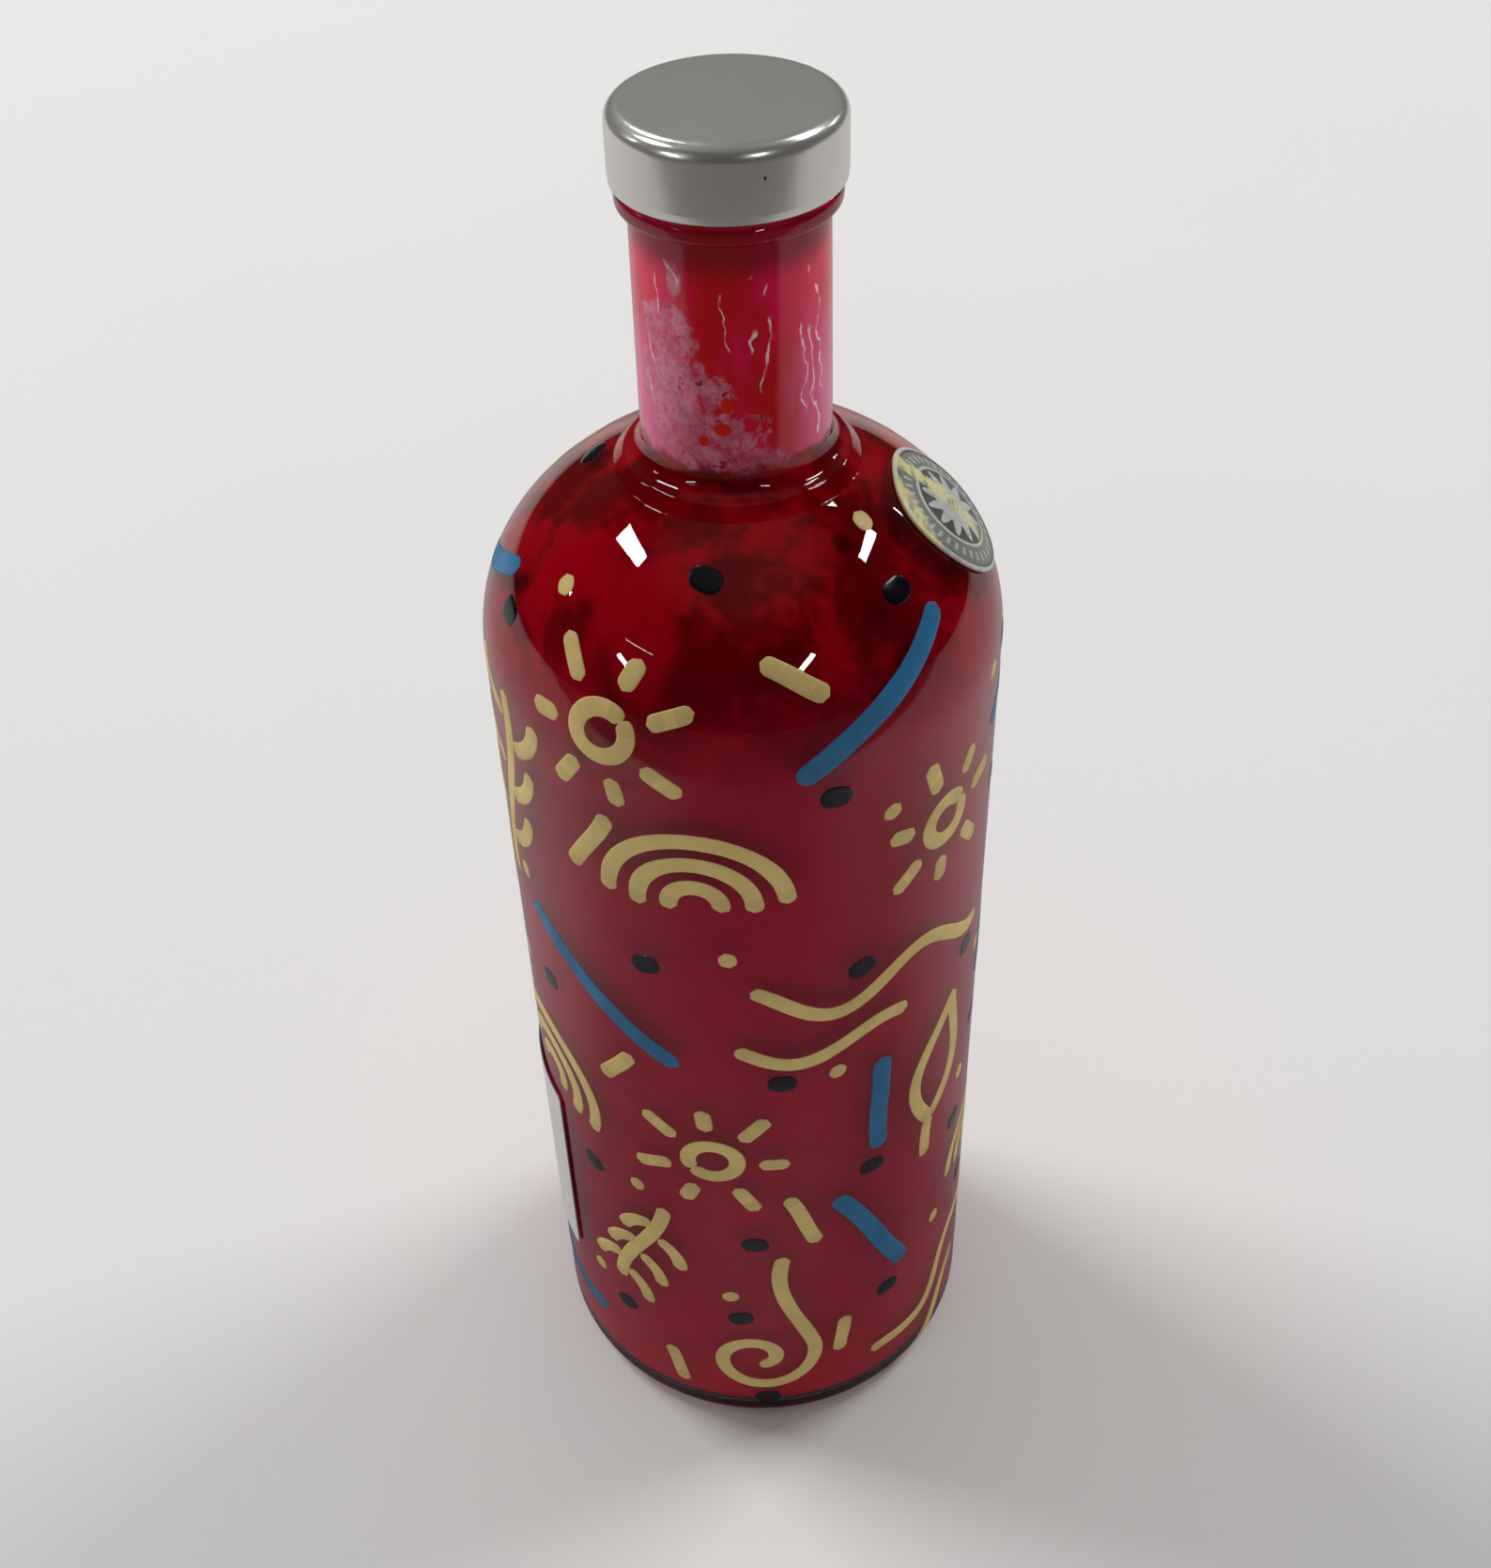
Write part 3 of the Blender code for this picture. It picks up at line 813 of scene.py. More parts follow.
@dataclass(frozen=True)
class MedallionPrint:
    """Grey silver disc with a pale rim, a band of pale bars, a pale rosette and a dry smear of cream paint."""

    name: str = "grey_silver_print"
    silver: Colour = (0.225, 0.235, 0.215)
    dark: Colour = (0.070, 0.075, 0.068)
    pale: Colour = (0.66, 0.65, 0.62)
    smear: Colour = (0.82, 0.76, 0.36)
    bar_count: int = 34
    petal_count: int = 12
    petal_reach: float = 0.11
    petal_edge: tuple[float, float] = (0.44, 0.47)
    uv: str = "disc"

    def build(self) -> bpy.types.Material:
        """Return the material. The map runs from -1 to 1 across the disc."""
        material, nodes, shader, here = new_material(self.name)
        across, up, _ = nodes.parts(nodes.uv(self.uv))
        squared = nodes.plus(nodes.times(across, across), nodes.times(up, up))
        reach = nodes.math("SQRT", squared)
        turn = nodes.math("ARCTAN2", up, across)
        bars = nodes.math("SINE", nodes.times(turn, float(self.bar_count)))
        ticks = nodes.times(nodes.step(bars, 0.25, 0.55), self.ring(nodes, reach, 0.72, 0.84))
        petals = nodes.times(nodes.math("COSINE", nodes.times(turn, float(self.petal_count))), self.petal_reach)
        petal = nodes.fade(nodes.plus(reach, petals), *self.petal_edge)
        heart = nodes.fade(reach, 0.11, 0.13)
        veins = nodes.step(nodes.math("SINE", nodes.times(reach, 70.0)), 0.2, 0.6)
        fill = nodes.blend(nodes.times(veins, 0.25), self.pale, self.silver)
        colour = nodes.blend(nodes.times(ticks, 0.75), self.silver, self.pale)
        colour = nodes.blend(self.ring(nodes, reach, -1.0, 0.60), colour, self.dark)
        colour = nodes.blend(petal, colour, fill)
        colour = nodes.blend(heart, colour, self.dark)
        for low, high, paint in ((0.60, 0.645, self.pale), (0.905, 0.930, self.dark), (0.940, 1.2, self.pale)):
            colour = nodes.blend(self.ring(nodes, reach, low, high), colour, paint)
        worn = nodes.step(nodes.noise(here, 1.6, 5.0, 0.6), 0.3, 0.75, 0.0, 0.35)
        colour = nodes.blend(worn, colour, self.silver)
        smeared = nodes.blend(self.smeared(nodes, here, across, up), colour, self.smear)
        rough = nodes.step(worn, 0.0, 0.35, 0.34, 0.46)
        nodes.wire(shader, {"Base Color": smeared, "Metallic": 0.1, "Roughness": rough})
        return material

    @staticmethod
    def smeared(nodes: Nodes, here: Socket, across: Socket, up: Socket) -> Socket:
        """Return where paint was dragged over the disc: down its middle and along one edge.

        Args:
            nodes: The material's nodes.
            here: Object coordinates.
            across: Place across the disc.
            up: Place up the disc.

        Returns:
            The mask of the smear.
        """
        ragged = nodes.times(nodes.centred(here, 2.4, 5.0, 0.65), 0.34)
        lean = nodes.plus(across, nodes.times(up, -0.16))
        middle = nodes.plus(nodes.math("ABSOLUTE", nodes.minus(lean, 0.03)), ragged)
        stripe = nodes.times(nodes.fade(middle, 0.10, 0.17), nodes.step(up, -0.62, -0.50))
        side = nodes.minus(nodes.times(across, 0.74), nodes.times(up, 0.67))
        strip = nodes.fade(nodes.plus(side, ragged), -0.80, -0.70)
        bristles = nodes.noise(nodes.stretched(here, (1.0, 0.25, 1.0)), 1.1, 4.0, 0.6)
        dry = nodes.step(bristles, 0.36, 0.56, 0.35, 0.86)
        return nodes.times(nodes.larger(stripe, strip), dry)

    @staticmethod
    def ring(nodes: Nodes, reach: Socket, low: float, high: float) -> Socket:
        """Return a mask that is 1 between two shares of the radius."""
        soft = 0.008
        inner = nodes.step(reach, low - soft, low + soft)
        outer = nodes.fade(reach, high - soft, high + soft)
        return nodes.times(inner, outer)


@dataclass(frozen=True)
class LabelFilm:
    """White film label, bare but for the dark line of its cut edge."""

    name: str = "white_label_film"
    white: Colour = (0.78, 0.78, 0.76)
    aged: Colour = (0.66, 0.65, 0.62)
    line: Colour = (0.10, 0.10, 0.11)
    uv: str = "label"

    def build(self) -> bpy.types.Material:
        """Return the material. The map gives the distance in from each edge, in centimetres."""
        material, nodes, shader, here = new_material(self.name)
        across, up, _ = nodes.parts(nodes.uv(self.uv))
        edge = nodes.math("MINIMUM", across, up)
        rim = nodes.step(edge, 0.010, 0.022, 0.8, 0.0)
        aged = nodes.step(nodes.noise(here, 14.0, 4.0), 0.35, 0.7, 0.0, 0.3)
        paper = nodes.blend(aged, self.white, self.aged)
        grain = nodes.bump(nodes.noise(here, 0.5, 3.0), 0.01)
        edged = nodes.blend(rim, paper, self.line)
        nodes.wire(shader, {"Base Color": edged, "Roughness": 0.42, "Normal": grain})
        return material


# Glass and the surface that the decoration follows


@dataclass
class GlassForm:
    """Blown bottle: base, body, shoulder, collar ring, neck, bead, screw finish and lip."""

    body_radius: float = 44.0
    wall: float = 3.6
    shoulder_height: float = 183.6
    heel_round: float = 5.5
    inner_heel_round: float = 5.0
    ring_inner: float = 33.5
    ring_round: float = 1.6
    push_up: float = 8.0
    floor: float = 3.6
    floor_round: float = 4.0
    floor_margin: float = 1.7
    floor_steps: int = 14
    dome_rise: float = 32.84
    dome_top_radius: float = 19.8
    wall_handle: float = 18.9
    crown_handle: float = 11.0
    crown_slope_deg: float = 29.0
    shoulder_wall: float = 4.0
    collar_radius: float = 18.05
    collar_top: float = 218.6
    neck_foot_radius: float = 15.15
    neck_foot: float = 219.65
    neck_top_radius: float = 14.9
    bead_bottom: float = 259.3
    bead_top: float = 262.6
    bead_radius: float = 16.7
    finish_radius: float = 14.2
    lip: float = 270.55
    lip_round: float = 0.8
    finish_foot_round: float = 0.6
    bead_round: float = 1.25
    bead_foot_round: float = 0.45
    neck_foot_round: float = 3.6
    collar_round: float = 1.3
    collar_foot_round: float = 0.9
    bore_radius: float = 9.2
    neck_bore: float = 10.8
    neck_bore_round: float = 8.0
    throat_rise: float = 2.5
    throat_round: float = 3.0
    thread_height: float = 0.75
    thread_pitch: float = 3.2
    thread_turns: float = 1.6
    thread_start: float = 264.0
    thread_width: float = 1.7
    fine_step: float = 0.22
    film_depth: float = 0.05
    film_thickness: float = 0.2
    film_top: float = 268.6
    film_fine_from: float = 222.0
    film_step: float = 2.0
    segments: int = 160
    dome_steps: int = 56

    @property
    def lip_middle(self) -> float:
        """Return the radius at which the inside and the outside meet on the lip."""
        return (self.bore_radius + self.finish_radius) / 2.0

    def shoulder(self) -> tuple[np.ndarray, np.ndarray]:
        """Return points and directions up the outer shoulder."""
        slope = math.radians(self.crown_slope_deg)
        start = np.array((self.body_radius, self.shoulder_height))
        end = np.array((self.dome_top_radius, self.shoulder_height + self.dome_rise))
        first = start + (0.0, self.wall_handle)
        second = end + self.crown_handle * np.array((math.cos(slope), -math.sin(slope)))
        t = np.linspace(0.0, 1.0, self.dome_steps + 1)[:, None]
        back = 1.0 - t
        points = start * back**3 + 3.0 * first * back**2 * t + 3.0 * second * back * t**2 + end * t**3
        along = (first - start) * back**2 + 2.0 * (second - first) * back * t + (end - second) * t**2
        return points, along / np.linalg.norm(along, axis=1, keepdims=True)

    def dished(self, rim: float, height: float, rise: float) -> list[tuple[float, float]]:
        """Return a shallow domed floor from its rim to its middle."""
        ball = (rim**2 + rise**2) / (2.0 * rise)
        radii = np.linspace(rim, 0.0, self.floor_steps + 1)
        return [(float(r), float(height + rise - ball + math.sqrt(ball**2 - r**2))) for r in radii]

    def inner_outline(self) -> np.ndarray:
        """Return the inside of the glass from the middle of the floor to the lip."""
        inner_radius = self.body_radius - self.wall
        rim = inner_radius - self.inner_heel_round - self.floor_margin
        floor = self.dished(rim, self.floor, self.push_up)
        corners = sharp(floor[:0:-1])
        corners += [(*floor[0], self.floor_round), (inner_radius, self.floor, self.inner_heel_round)]
        points, along = self.shoulder()
        walls = np.linspace(self.wall, self.shoulder_wall, len(points))[:, None]
        inside = points + walls * np.stack((-along[:, 1], along[:, 0]), axis=1)
        corners += sharp(inside)
        rise = (inside[-1, 0] - self.neck_bore) * math.tan(math.radians(self.crown_slope_deg))
        corners += [
            (self.neck_bore, float(inside[-1, 1]) + rise, self.neck_bore_round),
            (self.neck_bore, self.bead_top, self.throat_round),
            (self.bore_radius, self.bead_top + self.throat_rise, self.throat_round),
            (self.bore_radius, self.lip, self.lip_round),
            (self.lip_middle, self.lip, 0.0),
        ]
        return outline_of(corners)

    def outer_outline(self) -> np.ndarray:
        """Return the outside of the glass from the lip to the middle of the push-up."""
        corners: list[Corner] = [
            (self.lip_middle, self.lip, 0.0),
            (self.finish_radius, self.lip, self.lip_round),
            (self.finish_radius, self.bead_top, self.finish_foot_round),
            (self.bead_radius, self.bead_top, self.bead_round),
            (self.bead_radius, self.bead_bottom, self.bead_round),
            (self.neck_top_radius, self.bead_bottom, self.bead_foot_round),
            (self.neck_foot_radius, self.neck_foot, self.neck_foot_round),
            (self.collar_radius, self.collar_top, self.collar_round),
        ]
        points, _ = self.shoulder()
        corners.append((float(points[-1, 0]), float(points[-1, 1]), self.collar_foot_round))
        corners += sharp(points[-2::-1])
        corners += [(self.body_radius, 0.0, self.heel_round), (self.ring_inner, 0.0, self.ring_round)]
        dome = self.dished(self.ring_inner - self.ring_round, self.ring_round, self.push_up - self.ring_round)
        return outline_of(corners + sharp(dome))

    def thread(self, turn: np.ndarray, height: np.ndarray, start: float, width: float) -> np.ndarray:
        """Return the share of the thread's height at each angle and height.

        Args:
            turn: Angle about the axis, in radians.
            height: Height of each point.
            start: Height at which the thread begins.
            width: Width of the ridge at its foot.

        Returns:
            Values from 0 on the plain wall to 1 on the crest.
        """
        total = np.zeros_like(turn)
        for lap in range(math.ceil(self.thread_turns) + 1):
            laps = turn / FULL_TURN + lap
            inside = laps <= self.thread_turns
            fade = smooth_step(0.0, 0.10, np.minimum(laps, self.thread_turns - laps))
            off = np.abs(height - start - self.thread_pitch * laps) / (width / 2.0)
            ridge = 0.5 * (1.0 + np.cos(math.pi * np.clip(off, 0.0, 1.0))) * fade * inside
            total = np.maximum(total, ridge)
        return total

    def finish_relief(
        self, turn: np.ndarray, radius: np.ndarray, height: np.ndarray
    ) -> tuple[np.ndarray, np.ndarray]:
        """Return the outer thread as a change in radius."""
        wall = np.abs(radius - self.finish_radius) < 0.02
        ridge = self.thread(turn, height, self.thread_start, self.thread_width)
        return self.thread_height * ridge * wall, np.zeros_like(height)

    def build_glass(self, glass: bpy.types.Material) -> bpy.types.Object:
        """Return the glass wall."""
        outline = np.concatenate((self.inner_outline(), self.outer_outline()[1:]))
        outline = divided(outline, self.bead_top, self.lip, self.fine_step)
        return dressed(turned("bottle_glass", outline, self.segments, self.finish_relief), glass)

    def build_film(self, film: bpy.types.Material) -> bpy.types.Object:
        """Return the film, sunk a little in the glass so that no air lies between them."""
        inner = self.inner_outline()
        inner = inner[inner[:, 1] < self.film_top]
        top = np.array([(self.bore_radius, self.film_top)])
        wall = divided(np.concatenate((inner, top)), self.film_fine_from, self.film_top, self.film_step)
        outer = moved_off(wall, self.film_depth)
        inside = moved_off(wall, self.film_depth - self.film_thickness)
        return dressed(turned("crimson_lining", np.concatenate((outer, inside[::-1])), self.segments), film)


class OuterSurface:
    """Finds places on the outside of the glass from a height along it and an angle about the axis."""

    HEEL_STEP_DEG = 6.0
    WALL_STEP = 10.0

    def __init__(self, form: GlassForm) -> None:
        """Measure the outline from the standing ring up to the collar."""
        heel = form.heel_round
        centre = np.array((form.body_radius - heel, heel))
        foot = np.array(arc(centre, heel, -math.pi / 2.0, 0.0, math.radians(self.HEEL_STEP_DEG)))
        levels = np.arange(self.WALL_STEP, form.shoulder_height, self.WALL_STEP)
        wall = np.array([(form.body_radius, z) for z in levels])
        dome, _ = form.shoulder()
        self.line = np.concatenate((foot, wall, dome))
        steps = np.linalg.norm(np.diff(self.line, axis=0), axis=1)
        length = np.concatenate(([0.0], np.cumsum(steps)))
        self.start = heel - heel * math.pi / 2.0
        self.height = length + self.start
        slope = np.gradient(self.line, self.height, axis=0)
        slope /= np.linalg.norm(slope, axis=1, keepdims=True)
        self.normal = np.stack((slope[:, 1], -slope[:, 0]), axis=1)

    def radius(self, height: np.ndarray) -> np.ndarray:
        """Return the radius of the glass at each height along it."""
        return np.interp(height, self.height, self.line[:, 0])

    def at(self, height: np.ndarray, angle: np.ndarray, lift: np.ndarray) -> np.ndarray:
        """Return points above the glass.

        Args:
            height: Height along the outline. It is the plain height on the straight wall.
            angle: Angle about the axis, in radians.
            lift: Distance off the glass.

        Returns:
            Positions in millimetres.
        """
        out = np.interp(height, self.height, self.normal[:, 0])
        up = np.interp(height, self.height, self.normal[:, 1])
        radius = self.radius(height) + out * lift
        level = np.interp(height, self.height, self.line[:, 1]) + up * lift
        return np.stack((radius * np.cos(angle), radius * np.sin(angle), level), axis=-1)

    def guide(self) -> bpy.types.Object:
        """Return the outline as a curve in the XZ plane for Geometry Nodes to follow."""
        curve = bpy.data.curves.new("outer_guide", "CURVE")
        curve.dimensions = "3D"
        spline = curve.splines.new("POLY")
        spline.points.add(len(self.line) - 1)
        for point, (radius, level) in zip(spline.points, self.line):
            point.co = (radius * MM, 0.0, level * MM, 1.0)
        return linked("outer_guide", curve)


# Painted decoration


class Motif(Enum):
    """The shapes that the painter repeats."""

    SCROLL = "scroll"
    WAVES = "waves"
    SPRIG = "sprig"
    SHELL = "shell"
    SUN = "sun"
    LEAF = "leaf"
    BAR = "bar"
    DOT = "dot"


@dataclass(frozen=True)
class Mark:
    """One motif laid on the glass, by angle and height along the outline."""

    motif: Motif
    angle_deg: float
    height: float
    turn_deg: float
    size: float

    def turned(self, points: np.ndarray) -> np.ndarray:
        """Return points of the motif turned to the mark's lean and raised to its height."""
        spin = math.radians(self.turn_deg)
        matrix = np.array(((math.cos(spin), -math.sin(spin)), (math.sin(spin), math.cos(spin))))
        return points @ matrix.T + (0.0, self.height)


def motif_lines(motif: Motif, size: float) -> list[np.ndarray]:
    """Return the brush lines of a motif about its own middle.

    Args:
        motif: Which shape to draw.
        size: Overall size.

    Returns:
        One array of points for each line.
    """
    if motif is Motif.SCROLL:
        t = np.linspace(0.0, 1.0, 110)
        angle = 0.9 + t * 1.32 * FULL_TURN
        reach = size * (0.045 + 0.235 * t**1.15)
        coil = np.stack((reach * np.cos(angle), reach * np.sin(angle)), axis=1) - (0.16 * size, 0.0)
        away = coil[-1] - coil[-2]
        away /= np.linalg.norm(away)
        side = np.array((-away[1], away[0]))
        s = np.linspace(0.03, 1.0, 30)[:, None]
        tail = coil[-1] + size * 0.68 * (away * s + side * (0.30 * s**2 - 0.42 * s**3))
        return [np.concatenate((coil, tail))]
    if motif is Motif.WAVES:
        lines = []
        for shift, reach, swell in ((0.11, 0.55, 0.085), (-0.15, 0.34, 0.065)):
            x = np.linspace(-reach, reach, 90) * size
            y = swell * size * np.sin(x / size * 1.35 * FULL_TURN + 4.0 * shift) + shift * size
            lines.append(np.stack((x + shift * size, y), axis=1))
        return lines
    if motif is Motif.SPRIG:
        y = np.linspace(-0.52, 0.56, 50) * size
        stem = np.stack((0.10 * size * np.sin(y / size * 3.4), y), axis=1)
        lines = [stem]
        for foot, side in ((9, 1.0), (15, -1.0), (22, 1.0), (28, -1.0), (35, 1.0), (41, -1.0)):
            s = np.linspace(0.0, 1.0, 18)
            out = side * (0.045 + 0.20 * np.sin(1.4 * s))
            leaf = stem[foot] + size * np.stack((out, 0.04 + 0.07 * s + 0.15 * s**2), axis=1)
            lines.append(leaf)
        return lines
    if motif is Motif.SHELL:
        lines = []
        for reach, half in ((0.13, 1.9), (0.29, 1.75), (0.45, 1.6)):
            t = np.linspace(-half, half, 60)
            lines.append(size * np.stack((reach * np.sin(t), 0.92 * reach * np.cos(t) - 0.12), axis=1))
        return lines
    if motif is Motif.SUN:
        t = np.linspace(0.25, 0.35 + FULL_TURN, 74)
        lines = [size * 0.16 * np.stack((np.cos(t), 0.92 * np.sin(t)), axis=1)]
        for ray in range(7):
            turn = ray * FULL_TURN / 7.0 + 0.10 * math.sin(5.0 * ray)
            s = np.linspace(0.29, 0.56 - 0.07 * (ray % 2), 16)
            lines.append(size * np.stack((s * math.cos(turn), s * math.sin(turn)), axis=1))
        return lines
    if motif is Motif.LEAF:
        t = np.linspace(0.0, 1.0, 60)
        belly = size * 0.165 * np.sin(t**0.8 * math.pi) ** 1.15
        spine = size * (t * 0.80 - 0.22)
        bend = size * 0.10 * (t - 0.5) ** 2
        right = np.stack((belly + bend, spine), axis=1)
        left = np.stack((bend - belly, spine), axis=1)
        s = np.linspace(0.0, 1.0, 20)
        stalk = size * np.stack((0.025 + 0.05 * (1.0 - s) ** 2, -0.52 + 0.30 * s), axis=1)
        return [np.concatenate((right, left[::-1][1:])), stalk]
    if motif is Motif.BAR:
        s = np.linspace(-1.0, 1.0, 60)
        return [size * np.stack((0.010 * (1.0 - s**2) + 0.010 * np.sin(3.0 * s), 0.5 * s), axis=1)]
    s = np.linspace(-1.0, 1.0, 14)
    return [size * np.stack((0.5 * s, 0.02 * s), axis=1)]


@dataclass
class PaintedPattern:
    """All marks of one paint, and the brush that lays them."""

    name: str
    marks: list[Mark]
    half_width: float
    spacing: float = 0.6
    relief: float = 0.05
    wobble: float = 0.10
    seed: int = 3

    def lines_mesh(self) -> bpy.types.Object:
        """Return the brush lines as edges on the unrolled glass, with the middle angle of each."""
        points: list[np.ndarray] = []
        edges: list[tuple[int, int]] = []
        middles: list[float] = []
        for mark in self.marks:
            for line in motif_lines(mark.motif, mark.size):
                laid = mark.turned(line)
                first = len(middles)
                points.append(np.column_stack((laid, np.zeros(len(laid)))))
                edges += [(first + index, first + index + 1) for index in range(len(laid) - 1)]
                middles += [math.radians(mark.angle_deg)] * len(laid)
        mesh = bpy.data.meshes.new(self.name)
        mesh.from_pydata((np.concatenate(points) * MM).tolist(), edges, [])
        attribute = mesh.attributes.new("middle", "FLOAT", "POINT")
        attribute.data.foreach_set("value", middles)
        return linked(self.name, mesh)

    def build(
        self, brush: Recipe, guide: bpy.types.Object, start: float, paint: bpy.types.Material
    ) -> bpy.types.Object:
        """Return the finished strokes.

        Args:
            brush: The Geometry Nodes brush.
            guide: Curve of the glass outline.
            start: Height along the outline at which the guide starts.
            paint: Material of the strokes.

        Returns:
            One mesh object with all strokes.
        """
        values = {
            "Guide": guide,
            "Guide Start": start * MM,
            "Half Width": self.half_width * MM,
            "Spacing": self.spacing * MM,
            "Relief": self.relief,
            "Wobble": self.wobble,
            "Seed": self.seed,
            "Paint": paint,
        }
        return brush.apply(self.lines_mesh(), values)


RIPPLE_SCALE = 140.0
THINNEST_SHARE = 0.03
SUNK_SHARE = 0.1
SECTION_POINTS = 14


def stroke_brush() -> Recipe:
    """Return the brush: it swells each line to a round ended stroke and wraps it on the glass."""
    brush = Recipe("stroke_brush")
    nodes = brush.nodes
    guide = brush.ask("Guide", "NodeSocketObject")
    numbers = ("Guide Start", "Half Width", "Spacing", "Relief", "Wobble")
    start, half_width, spacing, relief, wobble = (brush.ask(name, "NodeSocketFloat") for name in numbers)
    seed = brush.ask("Seed", "NodeSocketInt")
    paint = brush.ask("Paint", "NodeSocketMaterial")

    lines = nodes.add("GeometryNodeMeshToCurve", {0: brush.entry.outputs["Geometry"]})
    even = nodes.add("GeometryNodeResampleCurve", {"Curve": lines.outputs[0], "Length": spacing}, mode="LENGTH")
    flat = nodes.add("GeometryNodeSetCurveNormal", {"Curve": even.outputs[0]}, mode="Z_UP")

    along = nodes.add("GeometryNodeSplineParameter").outputs["Length"]
    whole = nodes.add("GeometryNodeSplineLength").outputs["Length"]
    near_end = nodes.math("MINIMUM", along, nodes.minus(whole, along))
    from_end = nodes.math("DIVIDE", near_end, half_width)
    share = nodes.math("MINIMUM", from_end, 1.0)
    rounding = nodes.times(share, nodes.minus(2.0, share))
    taper = nodes.larger(nodes.math("SQRT", nodes.larger(rounding, 0.0)), THINNEST_SHARE)
    spot = nodes.add("GeometryNodeInputPosition").outputs[0]
    ripples = {"Vector": spot, "W": seed, "Scale": RIPPLE_SCALE, "Detail": 2.0}
    shaky = nodes.add("ShaderNodeTexNoise", ripples, noise_dimensions="4D")
    ripple = nodes.times(nodes.minus(shaky.outputs[0], 0.5), 2.0)
    width = nodes.plus(nodes.times(ripple, wobble), 1.0)
    scale = nodes.times(nodes.times(half_width, taper), width)

    store = {"Geometry": flat.outputs[0], "Name": MarkerPaint.end_attribute, "Value": from_end}
    marked = nodes.add("GeometryNodeStoreNamedAttribute", store, data_type="FLOAT", domain="POINT")
    circle = nodes.add("GeometryNodeCurvePrimitiveCircle", {"Resolution": SECTION_POINTS, "Radius": 1.0})
    squash = nodes.add("ShaderNodeCombineXYZ", {0: 1.0, 1: relief, 2: 1.0}).outputs[0]
    section = nodes.add("GeometryNodeTransform", {"Geometry": circle.outputs[0], "Scale": squash})
    inputs = {"Curve": marked.outputs[0], "Profile Curve": section.outputs[0], "Scale": scale, "Fill Caps": True}
    swept = nodes.add("GeometryNodeCurveToMesh", inputs)

    across, height, lift = nodes.parts(nodes.add("GeometryNodeInputPosition").outputs[0])
    level = nodes.minus(height, start)
    shape = nodes.add("GeometryNodeObjectInfo", {"Object": guide}).outputs["Geometry"]
    found = nodes.add("GeometryNodeSampleCurve", {"Curves": shape, "Length": level}, mode="LENGTH")
    radius, _, rise = nodes.parts(found.outputs["Position"])
    slope_out, _, slope_up = nodes.parts(found.outputs["Tangent"])
    proud = nodes.larger(lift, nodes.times(lift, SUNK_SHARE))
    reach = nodes.plus(radius, nodes.times(slope_up, proud))
    top = nodes.minus(rise, nodes.times(slope_out, proud))
    middle = nodes.add("GeometryNodeInputNamedAttribute", {"Name": "middle"}, data_type="FLOAT").outputs[0]
    angle = nodes.plus(middle, nodes.math("DIVIDE", across, radius))
    x = nodes.times(reach, nodes.math("COSINE", angle))
    y = nodes.times(reach, nodes.math("SINE", angle))
    place = nodes.add("ShaderNodeCombineXYZ", {0: x, 1: y, 2: top}).outputs[0]
    wrapped = nodes.add("GeometryNodeSetPosition", {"Geometry": swept.outputs[0], "Position": place})
    brush.close(wrapped.outputs[0], paint)
    return brush


def swing(chance: np.random.Generator, reach: float) -> float:
    """Return a random number up to a reach on either side of 0."""
    return chance.uniform(-reach, reach)


